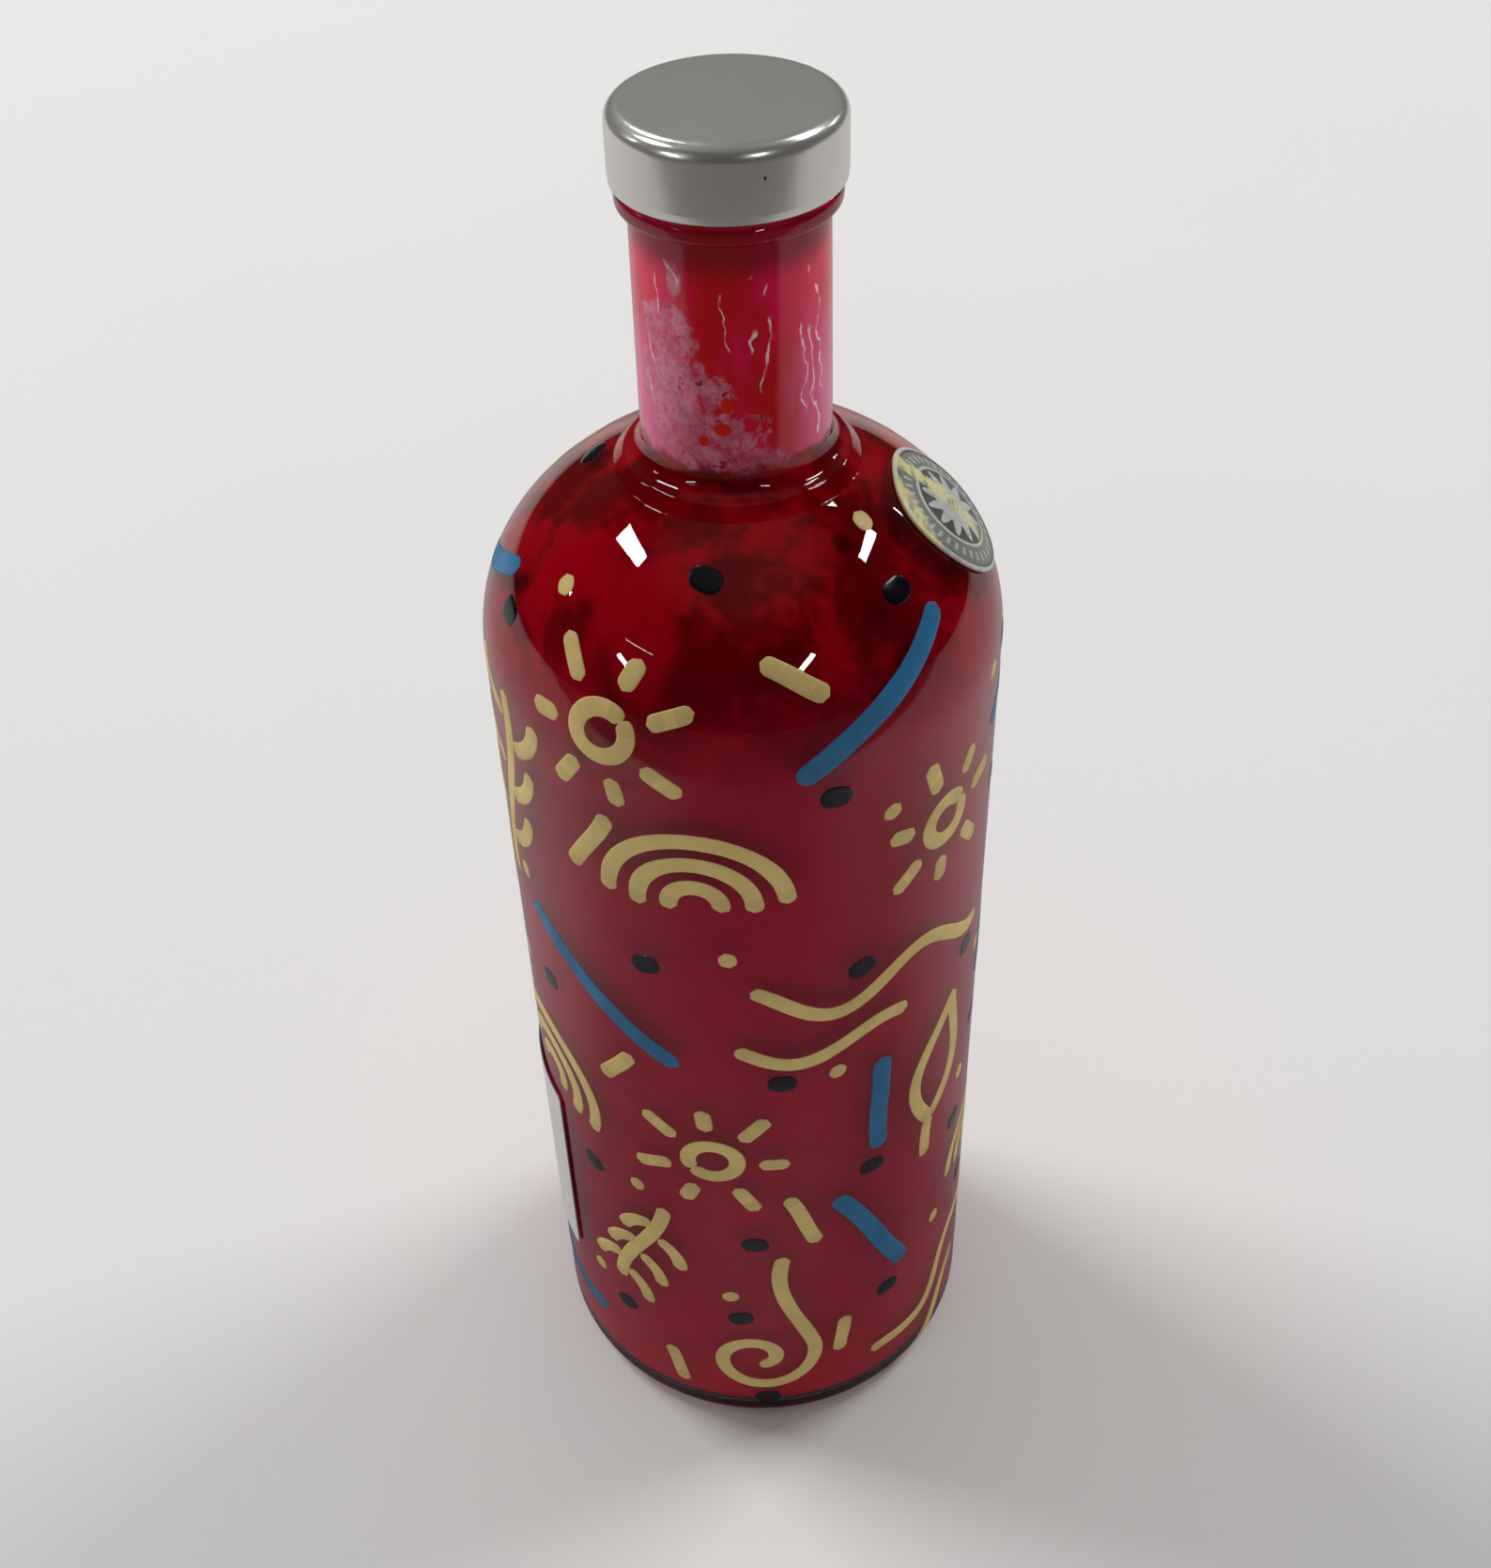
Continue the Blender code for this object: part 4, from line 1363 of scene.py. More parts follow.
@dataclass
class HandPainting:
    """The whole decoration: cream motifs in staggered rows, blue bars and black dots between them."""

    rows: tuple[tuple[float, int], ...] = ((23.0, 6), (57.0, 6), (91.0, 6), (125.0, 6), (159.0, 6), (193.0, 6))
    cream_size: tuple[tuple[Motif, float], ...] = (
        (Motif.SCROLL, 43.0),
        (Motif.WAVES, 48.0),
        (Motif.SPRIG, 42.0),
        (Motif.SHELL, 33.0),
        (Motif.SUN, 29.0),
        (Motif.LEAF, 40.0),
    )
    first_angle: float = -97.0
    angle_swing: float = 7.0
    height_swing: float = 4.0
    lean: float = 40.0
    flip_share: float = 0.35
    size_spread: tuple[float, float] = (0.94, 1.06)
    bar_size: float = 38.0
    bar_share: float = 0.30
    bar_lean: tuple[float, float] = (25.0, 65.0)
    bar_right_share: float = 0.45
    tries: int = 24
    extra_tries: int = 320
    gap_tries: int = 2600
    extra_share: float = 0.72
    extra_heights: tuple[float, float] = (12.0, 216.0)
    extra_spread: tuple[float, float] = (0.85, 1.15)
    gap_heights: tuple[float, float] = (8.0, 222.0)
    row_clearance: float = 3.2
    extra_clearance: float = 6.0
    gap_clearance: float = 4.6
    lowest: float = 1.0
    highest_row: float = 227.0
    highest_extra: float = 226.0
    cream_half_width: float = 1.6
    blue_half_width: float = 2.05
    dot_half_width: float = 2.15
    dot_length: float = 5.6
    dot_spacing: float = 22.0
    dot_tilt: float = 25.0
    dash_share: float = 0.4
    dash_lengths: tuple[float, ...] = (3.6, 3.8, 12.0, 17.0)
    dash_spacing: float = 26.0
    dash_tilt: float = 60.0
    clear_places: tuple[tuple[float, float, float, float], ...] = (
        (-4.0, 209.2, 33.0, 15.5),
        (176.0, 57.7, 37.0, 31.0),
    )
    seed: int = 60
    cream: list[Mark] = field(default_factory=list)
    blue: list[Mark] = field(default_factory=list)
    dots: list[Mark] = field(default_factory=list)
    dashes: list[Mark] = field(default_factory=list)

    def is_free(self, angle_deg: float, height: float, spare: float = 0.0) -> bool:
        """Say whether a place is off the medallion and the label."""
        for middle, level, half_angle, half_height in self.clear_places:
            turn = (angle_deg - middle + 180.0) % 360.0 - 180.0
            if abs(turn) < half_angle + spare and abs(height - level) < half_height + spare / 2.0:
                return False
        return True

    def fits(self, points: np.ndarray, highest: float) -> bool:
        """Say whether a mark stays between the base and a height, off the medallion and the label."""
        inside = self.lowest < points[:, 1].min() and points[:, 1].max() < highest
        return inside and all(self.is_free(*point) for point in points[::6])

    @staticmethod
    def laid(mark: Mark, surface: OuterSurface) -> np.ndarray:
        """Return the angle in degrees and the height of each point of a mark."""
        points = mark.turned(np.concatenate(motif_lines(mark.motif, mark.size)))
        across, height = points[:, 0], points[:, 1]
        return np.stack((mark.angle_deg + np.degrees(across / surface.radius(height)), height), axis=1)

    @staticmethod
    def clearance(points: np.ndarray, others: np.ndarray, surface: OuterSurface) -> float:
        """Return the shortest distance on the glass between two sets of places."""
        turn = (points[:, None, 0] - others[None, :, 0] + 180.0) % 360.0 - 180.0
        across = np.radians(turn) * surface.radius(others[:, 1])
        return float(np.hypot(across, points[:, None, 1] - others[None, :, 1]).min(initial=1e3))

    def lay_out(self, surface: OuterSurface) -> None:
        """Fill the rows with motifs and the gaps with dots and dashes, in an order that the seed fixes."""
        chance = np.random.default_rng(self.seed)
        drawn = self.fill_rows(surface, chance)
        drawn = self.add_extras(surface, drawn, chance)
        self.fill_gaps(surface, drawn, chance)
        counts = tuple(len(marks) for marks in (self.cream, self.blue, self.dots, self.dashes))
        LOG.info("%d cream, %d blue, %d dots, %d dashes", *counts)

    def fill_rows(self, surface: OuterSurface, chance: np.random.Generator) -> np.ndarray:
        """Lay a motif or a bar at each place of the staggered rows, from several tries the one with most room.

        Args:
            surface: The outside of the glass.
            chance: Source of the places.

        Returns:
            Angle and height of the strokes laid.
        """
        drawn = np.empty((0, 2))
        for row, (height, columns) in enumerate(self.rows):
            pitch = 360.0 / columns
            for column in range(columns):
                motif, size = self.cream_size[(row * 2 + row // 3 + column) % len(self.cream_size)]
                bar = (row + 2 * column) % 4 == 1
                best: tuple[float, Optional[Mark]] = (self.row_clearance, None)
                for _ in range(self.tries):
                    angle = column * pitch + (row % 2) * pitch / 2.0 + swing(chance, self.angle_swing)
                    angle += self.first_angle
                    level = height + swing(chance, self.height_swing)
                    flipped = chance.random() < self.flip_share and motif is not Motif.SHELL
                    turn = swing(chance, self.lean) + (180.0 if flipped else 0.0)
                    if bar:
                        turn = chance.uniform(*self.bar_lean)
                        turn *= 1.0 if chance.random() < self.bar_right_share else -1.0
                    whole = (self.bar_size if bar else size) * chance.uniform(*self.size_spread)
                    mark = Mark(Motif.BAR if bar else motif, angle, level, turn, whole)
                    points = self.laid(mark, surface)
                    spare = self.clearance(points[::4], drawn, surface)
                    if spare > best[0] and self.fits(points, self.highest_row):
                        best = (spare, mark)
                if best[1]:
                    (self.blue if bar else self.cream).append(best[1])
                    drawn = np.concatenate((drawn, self.laid(best[1], surface)[::2]))
        return drawn

    def add_extras(
        self, surface: OuterSurface, drawn: np.ndarray, chance: np.random.Generator
    ) -> np.ndarray:
        """Lay smaller motifs and bars where the rows leave a wide gap.

        Args:
            surface: The outside of the glass.
            drawn: Angle and height of the strokes laid so far.
            chance: Source of the places.

        Returns:
            Angle and height of all strokes laid.
        """
        for _ in range(self.extra_tries):
            bar = chance.random() < self.bar_share
            motif, size = (Motif.BAR, self.bar_size) if bar else self.cream_size[chance.integers(0, 3)]
            angle, level = swing(chance, 180.0), chance.uniform(*self.extra_heights)
            turn = swing(chance, 180.0)
            mark = Mark(motif, angle, level, turn, size * self.extra_share * chance.uniform(*self.extra_spread))
            points = self.laid(mark, surface)
            spare = self.clearance(points[::3], drawn, surface)
            if spare > self.extra_clearance and self.fits(points, self.highest_extra):
                (self.blue if bar else self.cream).append(mark)
                drawn = np.concatenate((drawn, points[::2]))
        return drawn

    def fill_gaps(self, surface: OuterSurface, drawn: np.ndarray, chance: np.random.Generator) -> None:
        """Put dots and short cream dashes where no stroke is near.

        Args:
            surface: The outside of the glass.
            drawn: Angle and height of the strokes laid so far.
            chance: Source of the places.
        """
        for _ in range(self.gap_tries):
            angle, level = swing(chance, 180.0), chance.uniform(*self.gap_heights)
            dash = chance.random() < self.dash_share
            same = self.dashes if dash else self.dots
            length = chance.choice(self.dash_lengths) if dash else self.dot_length
            tilt = swing(chance, self.dash_tilt if dash else self.dot_tilt)
            mark = Mark(Motif.BAR if dash else Motif.DOT, angle, level, tilt, float(length))
            points = self.laid(mark, surface)
            places = np.array([(mark.angle_deg, mark.height) for mark in same]).reshape(-1, 2)
            near = points[:: max(1, len(points) // 7)]
            if not all(self.is_free(*point) for point in near):
                continue
            if self.clearance(near, drawn, surface) < self.gap_clearance:
                continue
            if self.clearance(near, places, surface) < (self.dash_spacing if dash else self.dot_spacing):
                continue
            same.append(mark)
            drawn = np.concatenate((drawn, points))

    def build(self, surface: OuterSurface) -> list[bpy.types.Object]:
        """Return the strokes of the three paints."""
        self.lay_out(surface)
        cream = MarkerPaint("cream_paint", (0.80, 0.60, 0.20), (0.68, 0.49, 0.165)).build()
        blue = MarkerPaint("blue_paint", (0.013, 0.185, 0.40), (0.010, 0.140, 0.31)).build()
        black = MarkerPaint("black_paint", (0.004, 0.004, 0.008), (0.007, 0.005, 0.010), 0.12).build()
        brush = stroke_brush()
        guide = surface.guide()
        pale_marks = self.cream + self.dashes
        patterns = (
            (PaintedPattern("blue_strokes", self.blue, self.blue_half_width, seed=5), blue),
            (PaintedPattern("black_dots", self.dots, self.dot_half_width, spacing=0.3, wobble=0.06, seed=7), black),
            (PaintedPattern("cream_strokes", pale_marks, self.cream_half_width, relief=0.06, seed=3), cream),
        )
        made = [pattern.build(brush, guide, surface.start, paint) for pattern, paint in patterns]
        bpy.data.objects.remove(guide, do_unlink=True)
        return made


# Medallion and label


@dataclass
class Medallion:
    """Thin disc that follows the shoulder, with a raised rim, a ring and a rosette."""

    angle_deg: float = -4.0
    height: float = 209.2
    radius: float = 12.2
    gap: float = 0.3
    thickness: float = 0.5
    face_drop: float = 0.12
    rim_rise: float = 0.10
    ring_rise: float = 0.05
    petal_rise: float = 0.06
    rings: int = 60
    spokes: int = 144

    def relief(self, turn: np.ndarray, radius: np.ndarray, height: np.ndarray) -> tuple[np.ndarray, np.ndarray]:
        """Return the raised rim, ring and petals as a change in height on the upper face."""
        share = radius / self.radius
        upper = height > self.gap + self.thickness * 0.6
        rim = smooth_step(0.90, 0.93, share) - smooth_step(0.975, 1.0, share)
        ring = smooth_step(0.595, 0.61, share) - smooth_step(0.625, 0.64, share)
        wave = MedallionPrint.petal_reach * np.cos(MedallionPrint.petal_count * turn)
        petals = 1.0 - smooth_step(*MedallionPrint.petal_edge, share + wave)
        raised = self.rim_rise * rim + self.ring_rise * ring + self.petal_rise * petals
        return np.zeros_like(radius), (raised - self.face_drop) * upper

    def build(self, surface: OuterSurface, finish: bpy.types.Material) -> bpy.types.Object:
        """Return the disc on the shoulder."""
        top = self.gap + self.thickness
        face = [(r, top) for r in np.linspace(0.0, self.radius - 0.12, self.rings)]
        edge = [(self.radius, top - 0.15), (self.radius, self.gap), (self.radius * 0.5, self.gap), (0.0, self.gap)]
        flat: list[np.ndarray] = []

        def place(x: np.ndarray, y: np.ndarray, lift: np.ndarray) -> np.ndarray:
            """Wrap the flat disc on the shoulder, and keep its places as shares of the radius."""
            flat.extend((x / self.radius, y / self.radius))
            height = self.height + y
            angle = math.radians(self.angle_deg) + x / surface.radius(height)
            return surface.at(height, angle, lift)

        obj = turned("medallion_disc", np.array(face + edge), self.spokes, self.relief, place)
        write_uv(obj, MedallionPrint.uv, *flat)
        return dressed(obj, finish)


@dataclass
class BackLabel:
    """Rounded rectangle of film wrapped on the straight wall."""

    angle_deg: float = 176.0
    width: float = 49.6
    bottom: float = 33.0
    height: float = 49.5
    corner: float = 2.0
    gap: float = 0.3
    thickness: float = 0.25
    columns: int = 96
    rows: int = 48

    def build(self, surface: OuterSurface, finish: bpy.types.Material) -> bpy.types.Object:
        """Return the label."""
        half = self.width / 2.0
        across = np.linspace(-half, half, self.columns + 1)
        past = np.maximum(0.0, np.abs(across) - (half - self.corner))
        inset = self.corner - np.sqrt(np.maximum(0.0, self.corner**2 - past**2))
        share = np.linspace(0.0, 1.0, self.rows + 1)
        x, s = np.meshgrid(across, share, indexing="ij")
        low, high = self.bottom + inset[:, None], self.bottom + self.height - inset[:, None]
        y = low + (high - low) * s
        angle = math.radians(self.angle_deg) + x / (surface.radius(y) + self.gap)
        faces_off = (self.gap, self.gap + self.thickness)
        sheets = [surface.at(y, angle, np.full_like(y, lift)).reshape(-1, 3) for lift in faces_off]
        nx, ny = x.shape
        size = nx * ny
        faces: list[tuple[int, ...]] = []
        for i in range(nx - 1):
            for j in range(ny - 1):
                a, b, c, d = i * ny + j, (i + 1) * ny + j, (i + 1) * ny + j + 1, i * ny + j + 1
                faces.append((a, d, c, b))
                faces.append((a + size, b + size, c + size, d + size))
        rim = [i * ny for i in range(nx)] + [(nx - 1) * ny + j for j in range(1, ny)]
        rim += [i * ny + ny - 1 for i in range(nx - 2, -1, -1)] + list(range(ny - 2, 0, -1))
        for a, b in zip(rim, rim[1:] + rim[:1]):
            faces.append((a, b, b + size, a + size))
        obj = mesh_object("label_film", np.concatenate(sheets), faces)
        side = (half - np.abs(x)) / 10.0
        level = np.minimum(y - self.bottom, self.bottom + self.height - y) / 10.0
        write_uv(obj, LabelFilm.uv, np.tile(side.ravel(), 2), np.tile(level.ravel(), 2))
        return dressed(obj, finish)


# Cap


@dataclass
class ScrewCap:
    """Drawn aluminium shell, moulded insert with its thread, and foam liner.

    The insert's thread passes clear of the one on the glass, because lift and turn are separate joints.
    """

    lip: float = 270.55
    bottom: float = 263.2
    top: float = 274.3
    radius: float = 17.4
    sheet: float = 0.45
    edge_round: float = 2.5
    flat_radius: float = 9.0
    hem_height: float = 1.2
    hem_tuck: float = 0.12
    insert_radius: float = 16.65
    insert_bore: float = 15.5
    insert_bottom: float = 264.4
    insert_crown: float = 273.55
    insert_ceiling: float = 272.35
    rib_radius: float = 14.9
    rib_depth: float = 0.6
    rib_clear: float = 0.05
    thread_height: float = 0.42
    thread_width: float = 1.3
    thread_fade: tuple[float, float] = (268.4, 269.0)
    grip_count: int = 40
    grip_foot: float = 0.6
    grip_head: float = 2.2
    liner_radius: float = 15.2
    liner_bottom: float = 270.85
    liner_top: float = 272.05
    pressed_ring: tuple[float, float, float, float] = (13.6, 12.9, 10.2, 9.5)
    pressed_depth: float = 0.12
    segments: int = 160
    liner_segments: int = 96

    def build_shell(self, metal: bpy.types.Material) -> bpy.types.Object:
        """Return the aluminium shell."""
        hem = self.bottom + self.hem_height
        tuck = self.radius - self.hem_tuck
        corners: list[Corner] = [
            (0.0, self.top, 0.0),
            (self.flat_radius, self.top, 0.0),
            (self.radius, self.top, self.edge_round),
            (self.radius, hem, 0.5),
            (tuck, self.bottom, 0.18),
            (tuck - self.sheet, self.bottom, 0.18),
            (self.radius - self.sheet, hem, 0.3),
            (self.radius - self.sheet, self.top - self.sheet, self.edge_round - self.sheet),
            (0.0, self.top - self.sheet, 0.0),
        ]
        return dressed(turned("cap_sleeve", outline_of(corners, 5.0), self.segments), metal)

    def insert_relief(self, form: GlassForm) -> Relief:
        """Return the inner thread as a change in radius on the insert's bore."""

        def relief(turn: np.ndarray, radius: np.ndarray, height: np.ndarray) -> tuple[np.ndarray, np.ndarray]:
            """Sink nothing and raise the ridge towards the axis."""
            wall = np.abs(radius - self.insert_bore) < 0.02
            inside = smooth_step(self.insert_bottom + 0.1, self.insert_bottom + 0.6, height)
            inside *= 1.0 - smooth_step(*self.thread_fade, height)
            ridge = form.thread(turn, height, form.thread_start - form.thread_pitch / 2.0, self.thread_width)
            return -self.thread_height * ridge * wall * inside, np.zeros_like(height)

        return relief

    def build_insert(self, form: GlassForm, plastic: bpy.types.Material) -> bpy.types.Object:
        """Return the moulded insert with its grip ribs joined on."""
        rib_top, rib_bottom = self.lip, self.lip - self.rib_depth
        foot = rib_bottom - self.rib_depth
        corners: list[Corner] = [
            (0.0, self.insert_crown, 0.0),
            (self.insert_radius, self.insert_crown, 1.7),
            (self.insert_radius, self.insert_bottom, 0.15),
            (self.insert_bore, self.insert_bottom, 0.15),
            (self.insert_bore, foot, 0.15),
            (self.rib_radius, rib_bottom, 0.15),
            (self.rib_radius, rib_top, 0.12),
            (self.insert_bore, rib_top, 0.12),
            (self.insert_bore, self.insert_ceiling, 0.3),
            (0.0, self.insert_ceiling, 0.0),
        ]
        outline = divided(outline_of(corners), self.insert_bottom, foot - self.rib_clear, form.fine_step)
        obj = dressed(turned("cap_moulding", outline, self.segments, self.insert_relief(form)), plastic)
        grips = self.build_grips(plastic)
        with bpy.context.temp_override(active_object=obj, selected_editable_objects=[obj, grips]):
            bpy.ops.object.join()
        return obj

    def build_grips(self, plastic: bpy.types.Material) -> bpy.types.Object:
        """Return the upright ribs that bite in the shell, laid round the insert by Geometry Nodes."""
        recipe = Recipe("grip_ribs")
        nodes = recipe.nodes
        count = recipe.ask("Count", "NodeSocketInt")
        radius = recipe.ask("Radius", "NodeSocketFloat")
        material = recipe.ask("Plastic", "NodeSocketMaterial")
        circle = nodes.add("GeometryNodeMeshCircle", {"Vertices": count, "Radius": radius})
        index = nodes.add("GeometryNodeInputIndex").outputs[0]
        step = nodes.math("DIVIDE", FULL_TURN, count)
        spin = nodes.add("ShaderNodeCombineXYZ", {2: nodes.times(index, step)}).outputs[0]
        inputs = {"Points": circle.outputs[0], "Instance": recipe.entry.outputs["Geometry"], "Rotation": spin}
        laid = nodes.add("GeometryNodeInstanceOnPoints", inputs)
        recipe.close(laid.outputs[0], material)
        low, high = self.insert_bottom + self.grip_foot, self.insert_crown - self.grip_head
        ring = np.array([(-0.12, -0.32), (0.14, -0.20), (0.20, 0.0), (0.14, 0.20), (-0.12, 0.32)])
        points = np.array([(x, y, z) for z in (low, high) for x, y in ring])
        faces: list[tuple[int, ...]] = [(i, (i + 1) % 5, (i + 1) % 5 + 5, i + 5) for i in range(5)]
        faces += [(4, 3, 2, 1), (4, 1, 0), (6, 7, 8, 9), (5, 6, 9)]
        rib = mesh_object("grip_ribs", points, faces)
        return recipe.apply(rib, {"Count": self.grip_count, "Radius": self.insert_radius * MM, "Plastic": plastic})

    def build_liner(self, foam: bpy.types.Material) -> bpy.types.Object:
        """Return the liner, with the ring that the lip has pressed in it."""
        outside, begin, end, inside = self.pressed_ring
        pressed = self.liner_bottom + self.pressed_depth
        corners: list[Corner] = [
            (0.0, self.liner_top, 0.0),
            (self.liner_radius, self.liner_top, 0.2),
            (self.liner_radius, self.liner_bottom, 0.2),
            (outside, self.liner_bottom, 0.3),
            (begin, pressed, 0.4),
            (end, pressed, 0.4),
            (inside, self.liner_bottom, 0.3),
            (0.0, self.liner_bottom, 0.0),
        ]
        return dressed(turned("sealing_liner", outline_of(corners), self.liner_segments), foam)


# Studio


class PanelUse(Enum):
    """What a lamp does: light surfaces softly, or show as a bright patch in glass and metal."""

    LIGHT = "light"
    SHINE = "shine"


@dataclass(frozen=True)
class SoftPanel:
    """A soft rectangular lamp that faces the bottle from a direction."""

    name: str
    angle_deg: float
    elevation_deg: float
    distance: float
    width: float
    height: float
    radiance: float
    tilt_deg: float = 0.0
    use: PanelUse = PanelUse.SHINE
    aim_height: float = 0.15

    def build(self) -> None:
        """Add the lamp. Distances here are metres."""
        lamp = bpy.data.lights.new(self.name, "AREA")
        lamp.shape = "RECTANGLE"
        lamp.size = self.width
        lamp.size_y = self.height
        lamp.energy = self.radiance * math.pi * self.width * self.height
        obj = linked(self.name, lamp)
        turn, rise = math.radians(self.angle_deg), math.radians(self.elevation_deg)
        ray = Vector((math.cos(rise) * math.cos(turn), math.cos(rise) * math.sin(turn), math.sin(rise)))
        aim = (-ray).to_track_quat("-Z", "Y").to_matrix().to_4x4()
        spot = Matrix.Translation(ray * self.distance + Vector((0.0, 0.0, self.aim_height)))
        obj.matrix_world = spot @ aim @ Matrix.Rotation(math.radians(self.tilt_deg), 4, "Z")
        obj.visible_diffuse = self.use is PanelUse.LIGHT
        obj.visible_glossy = self.use is PanelUse.SHINE
        obj.visible_transmission = self.use is PanelUse.SHINE
        obj.visible_camera = False


@dataclass
class Studio:
    """Pale floor, dim room, soft lamps and the camera at the photograph's place. Metres and degrees."""

    floor_half: float = 4.0
    floor_drop: float = -0.00005
    floor_colour: Colour = (0.765, 0.755, 0.745)
    # Painted shade: the floor's colours in reflections only, darker in front of the bottle and darker still farther
    # out, lighter to its sides.
    reflected_near_shade: Colour = (0.265, 0.245, 0.258)
    reflected_mid_shade: Colour = (0.175, 0.164, 0.172)
    reflected_side_shade: Colour = (0.54, 0.53, 0.51)
    far_colour: Colour = (0.125, 0.108, 0.092)
    table_edge: float = 0.28
    table_edge_blur: float = 0.03
    near_zone: tuple[float, float] = (-0.20, -0.08)
    side_zone: tuple[float, float] = (0.06, 0.24)
    fill_front: Colour = (0.225, 0.225, 0.225)
    fill_back: Colour = (0.480, 0.480, 0.480)
    room_colour: Colour = (0.005, 0.005, 0.005)
    wall_colour: Colour = (0.100, 0.096, 0.086)
    ceiling_colour: Colour = (0.125, 0.119, 0.106)
    camera_place: tuple[float, float, float] = (0.0, -0.262964, 0.381731)
    pitch_deg: float = 41.9107
    yaw_deg: float = -0.1071
    roll_deg: float = -1.9371
    focal_px: float = 2047.92
    sensor_mm: float = 36.0
    panels: tuple[SoftPanel, ...] = (
        SoftPanel("back_left_light", 148.0, 43.0, 3.4, 1.25, 0.60, 26.4, 0.0, PanelUse.LIGHT),
        SoftPanel("back_right_light", 31.0, 43.0, 3.4, 1.13, 0.60, 20.6, 0.0, PanelUse.LIGHT),
        SoftPanel("left_window", 166.3, 52.3, 1.5, 0.42, 0.10, 26.0, 35.0),
        SoftPanel("right_window", 15.2, 46.2, 1.5, 0.36, 0.07, 26.0, -25.0),
        SoftPanel("left_tube", 118.0, 51.0, 1.5, 0.09, 0.32, 22.0),
        SoftPanel("right_tube", 28.0, 55.0, 1.5, 0.10, 0.22, 20.0, 20.0),
        SoftPanel("small_left", -143.6, 25.4, 1.5, 0.33, 0.06, 26.0, -29.0),
        SoftPanel("arc_left", -143.2, 36.3, 1.5, 0.34, 0.014, 8.0, -1.0),
        SoftPanel("small_right", -59.8, 35.5, 1.5, 0.25, 0.06, 26.0, 40.0),
        SoftPanel("glint_upper", 35.6, 27.8, 1.5, 0.14, 0.020, 26.0, 46.0),
        SoftPanel("glint_lower", 37.4, 25.6, 1.5, 0.18, 0.018, 26.0, -3.0),
        SoftPanel("glint_left", 168.2, 27.8, 1.5, 0.20, 0.04, 20.0, 18.0),
    )

    def build_floor(self) -> bpy.types.Object:
        """Return the pale floor. Mirrors show it only near the bottle, in painted shade: darker in front of the
        bottle, lighter to its sides.
        """
        mesh = bpy.data.meshes.new("floor")
        half = self.floor_half
        corners = [(x * half, y * half, self.floor_drop) for x, y in ((-1, -1), (1, -1), (1, 1), (-1, 1))]
        mesh.from_pydata(corners, [], [(0, 1, 2, 3)])
        material, nodes, shader, here = new_material("pale_paper")
        cloud = nodes.step(nodes.noise(here, 260.0, 3.0), 0.3, 0.7, 0.0, 0.5)
        paper = nodes.blend(cloud, self.floor_colour, tuple(c * 0.975 for c in self.floor_colour))
        across, back, _ = nodes.parts(here)
        # Painted shade for glossy rays: the reflected floor is darker in front of the bottle and lighter to its
        # sides.
        beside = nodes.step(nodes.math("ABSOLUTE", across), *self.side_zone)
        close = nodes.blend(nodes.step(back, *self.near_zone), self.reflected_mid_shade, self.reflected_near_shade)
        table = nodes.blend(beside, close, self.reflected_side_shade)
        front = nodes.fade(back, -self.table_edge - self.table_edge_blur, -self.table_edge + self.table_edge_blur)
        mirrored_shade = nodes.blend(front, table, self.far_colour)
        rays = nodes.add("ShaderNodeLightPath")
        shown = nodes.blend(rays.outputs["Is Glossy Ray"], paper, mirrored_shade)
        grain = nodes.bump(nodes.noise(here, 3.0, 4.0), 0.05)
        nodes.wire(shader, {"Base Color": shown, "Roughness": 0.85, "Specular IOR Level": 0.1, "Normal": grain})
        return dressed(linked("floor", mesh), material)

    def build_room(self) -> None:
        """Write the world: pale to the camera, dim in reflections, with a lighter wall behind."""
        world = bpy.data.worlds.new("room")
        bpy.context.scene.world = world
        world.use_nodes = True
        nodes = Nodes(world.node_tree)
        direction = nodes.add("ShaderNodeTexCoord").outputs["Generated"]
        _, back, high = nodes.parts(direction)
        above = nodes.blend(nodes.step(high, 0.80, 0.97), self.room_colour, self.ceiling_colour)
        behind = nodes.times(nodes.step(back, 0.25, 0.85), nodes.step(high, 0.10, 0.50, 0.25, 1.0))
        tone = nodes.blend(behind, above, self.wall_colour)
        fill = nodes.blend(nodes.step(back, -0.6, 0.6), self.fill_front, self.fill_back)
        rays = nodes.add("ShaderNodeLightPath")
        seen = nodes.larger(rays.outputs["Is Camera Ray"], rays.outputs["Is Transmission Ray"])
        lit = nodes.blend(rays.outputs["Is Glossy Ray"], fill, tone)
        colour = nodes.blend(seen, lit, self.floor_colour)
        nodes.feed(world.node_tree.nodes["Background"].inputs["Color"], colour)

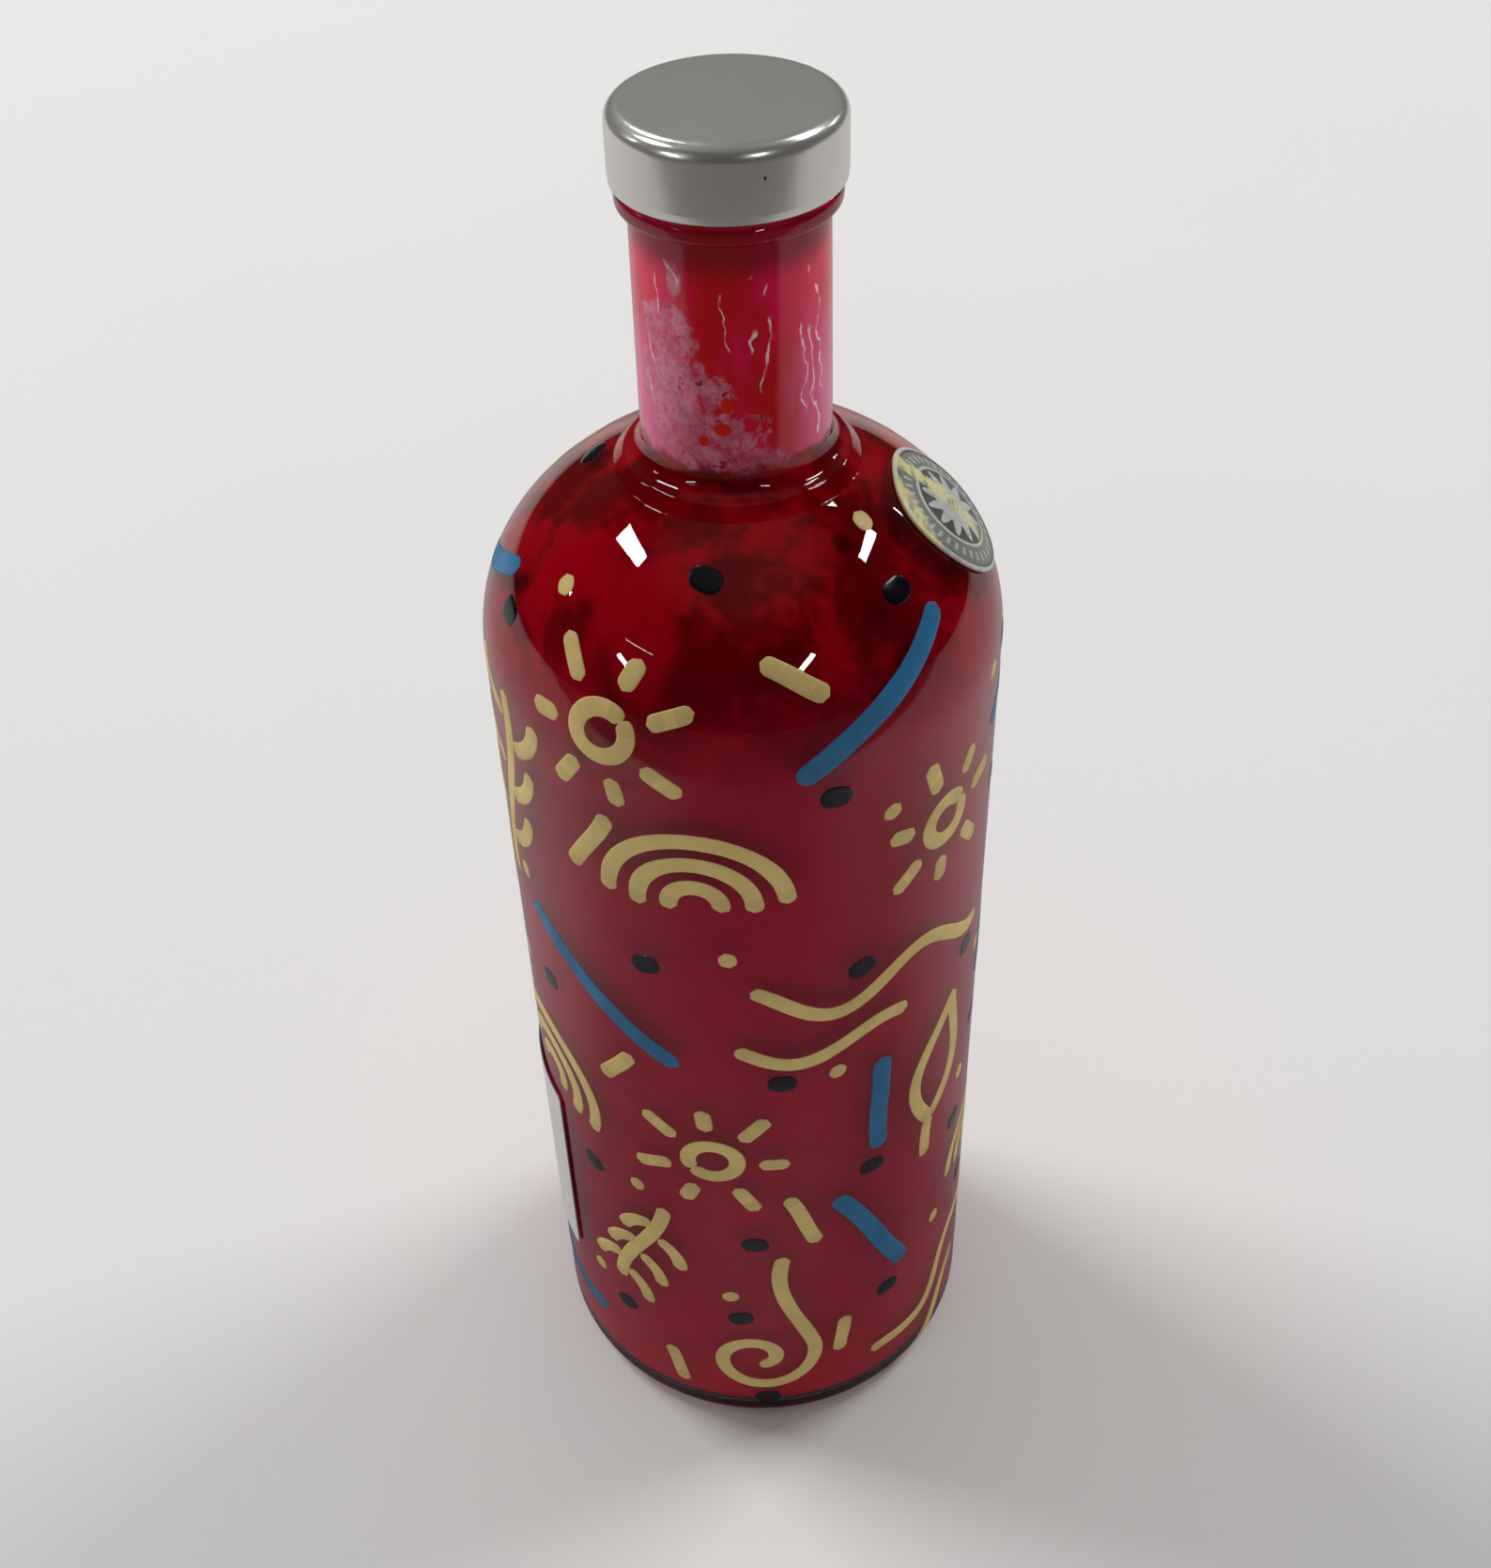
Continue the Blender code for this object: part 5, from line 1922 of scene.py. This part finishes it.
    def build_camera(self) -> None:
        """Place the camera as the photograph's was."""
        pitch, yaw, roll = (math.radians(v) for v in (self.pitch_deg, self.yaw_deg, self.roll_deg))
        ahead = Vector((math.sin(yaw) * math.cos(pitch), math.cos(yaw) * math.cos(pitch), -math.sin(pitch)))
        level = ahead.cross(Vector((0.0, 0.0, 1.0))).normalized()
        over = level.cross(ahead)
        right = level * math.cos(roll) + over * math.sin(roll)
        up = over * math.cos(roll) - level * math.sin(roll)
        camera = bpy.data.cameras.new("camera")
        camera.sensor_fit = "HORIZONTAL"
        camera.sensor_width = self.sensor_mm
        camera.lens = self.focal_px * self.sensor_mm / PHOTO_WIDTH_PX
        camera.clip_start = 0.01
        obj = linked("camera", camera)
        turn = Matrix((right, up, -ahead)).transposed().to_4x4()
        obj.matrix_world = Matrix.Translation(Vector(self.camera_place)) @ turn
        bpy.context.scene.camera = obj

    def build(self) -> None:
        """Set up the floor, the room, the lamps and the camera."""
        self.build_floor()
        self.build_room()
        for panel in self.panels:
            panel.build()
        self.build_camera()
        bpy.context.scene.view_settings.view_transform = "Standard"


def settle(obj: bpy.types.Object, body: str, node: str = "") -> None:
    """Hand a finished piece to the frame.

    Args:
        obj: The piece.
        body: CAD body that it moves with.
        node: CAD node that it stands for, if any.
    """
    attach(obj, body)
    if node:
        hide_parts(node)
    LOG.info("%s: %d faces, rides on %s", obj.name, len(obj.data.polygons), body)


def main() -> None:
    """Build and dress every piece, then light it."""
    logging.basicConfig(level=logging.INFO, format="%(message)s")
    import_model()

    form = GlassForm()
    surface = OuterSurface(form)
    settle(form.build_glass(ClearGlass().build()), "bottle", "glass_bottle")
    settle(form.build_film(CrimsonFilm().build()), "bottle")
    for strokes, slot in zip(HandPainting().build(surface), ("blue_paint", "black_paint", "cream_paint")):
        settle(strokes, "bottle")
    settle(Medallion().build(surface, MedallionPrint().build()), "bottle", "shoulder_medallion")
    settle(BackLabel().build(surface, LabelFilm().build()), "bottle", "back_label")

    cap = ScrewCap()
    settle(cap.build_shell(SatinAluminium().build()), "cap", "cap_shell")
    settle(cap.build_insert(form, MouldedPlastic().build()), "cap", "cap_insert")
    settle(cap.build_liner(FoamSheet().build()), "liner", "cap_liner")

    Studio().build()


if __name__ == "__main__":
    main()
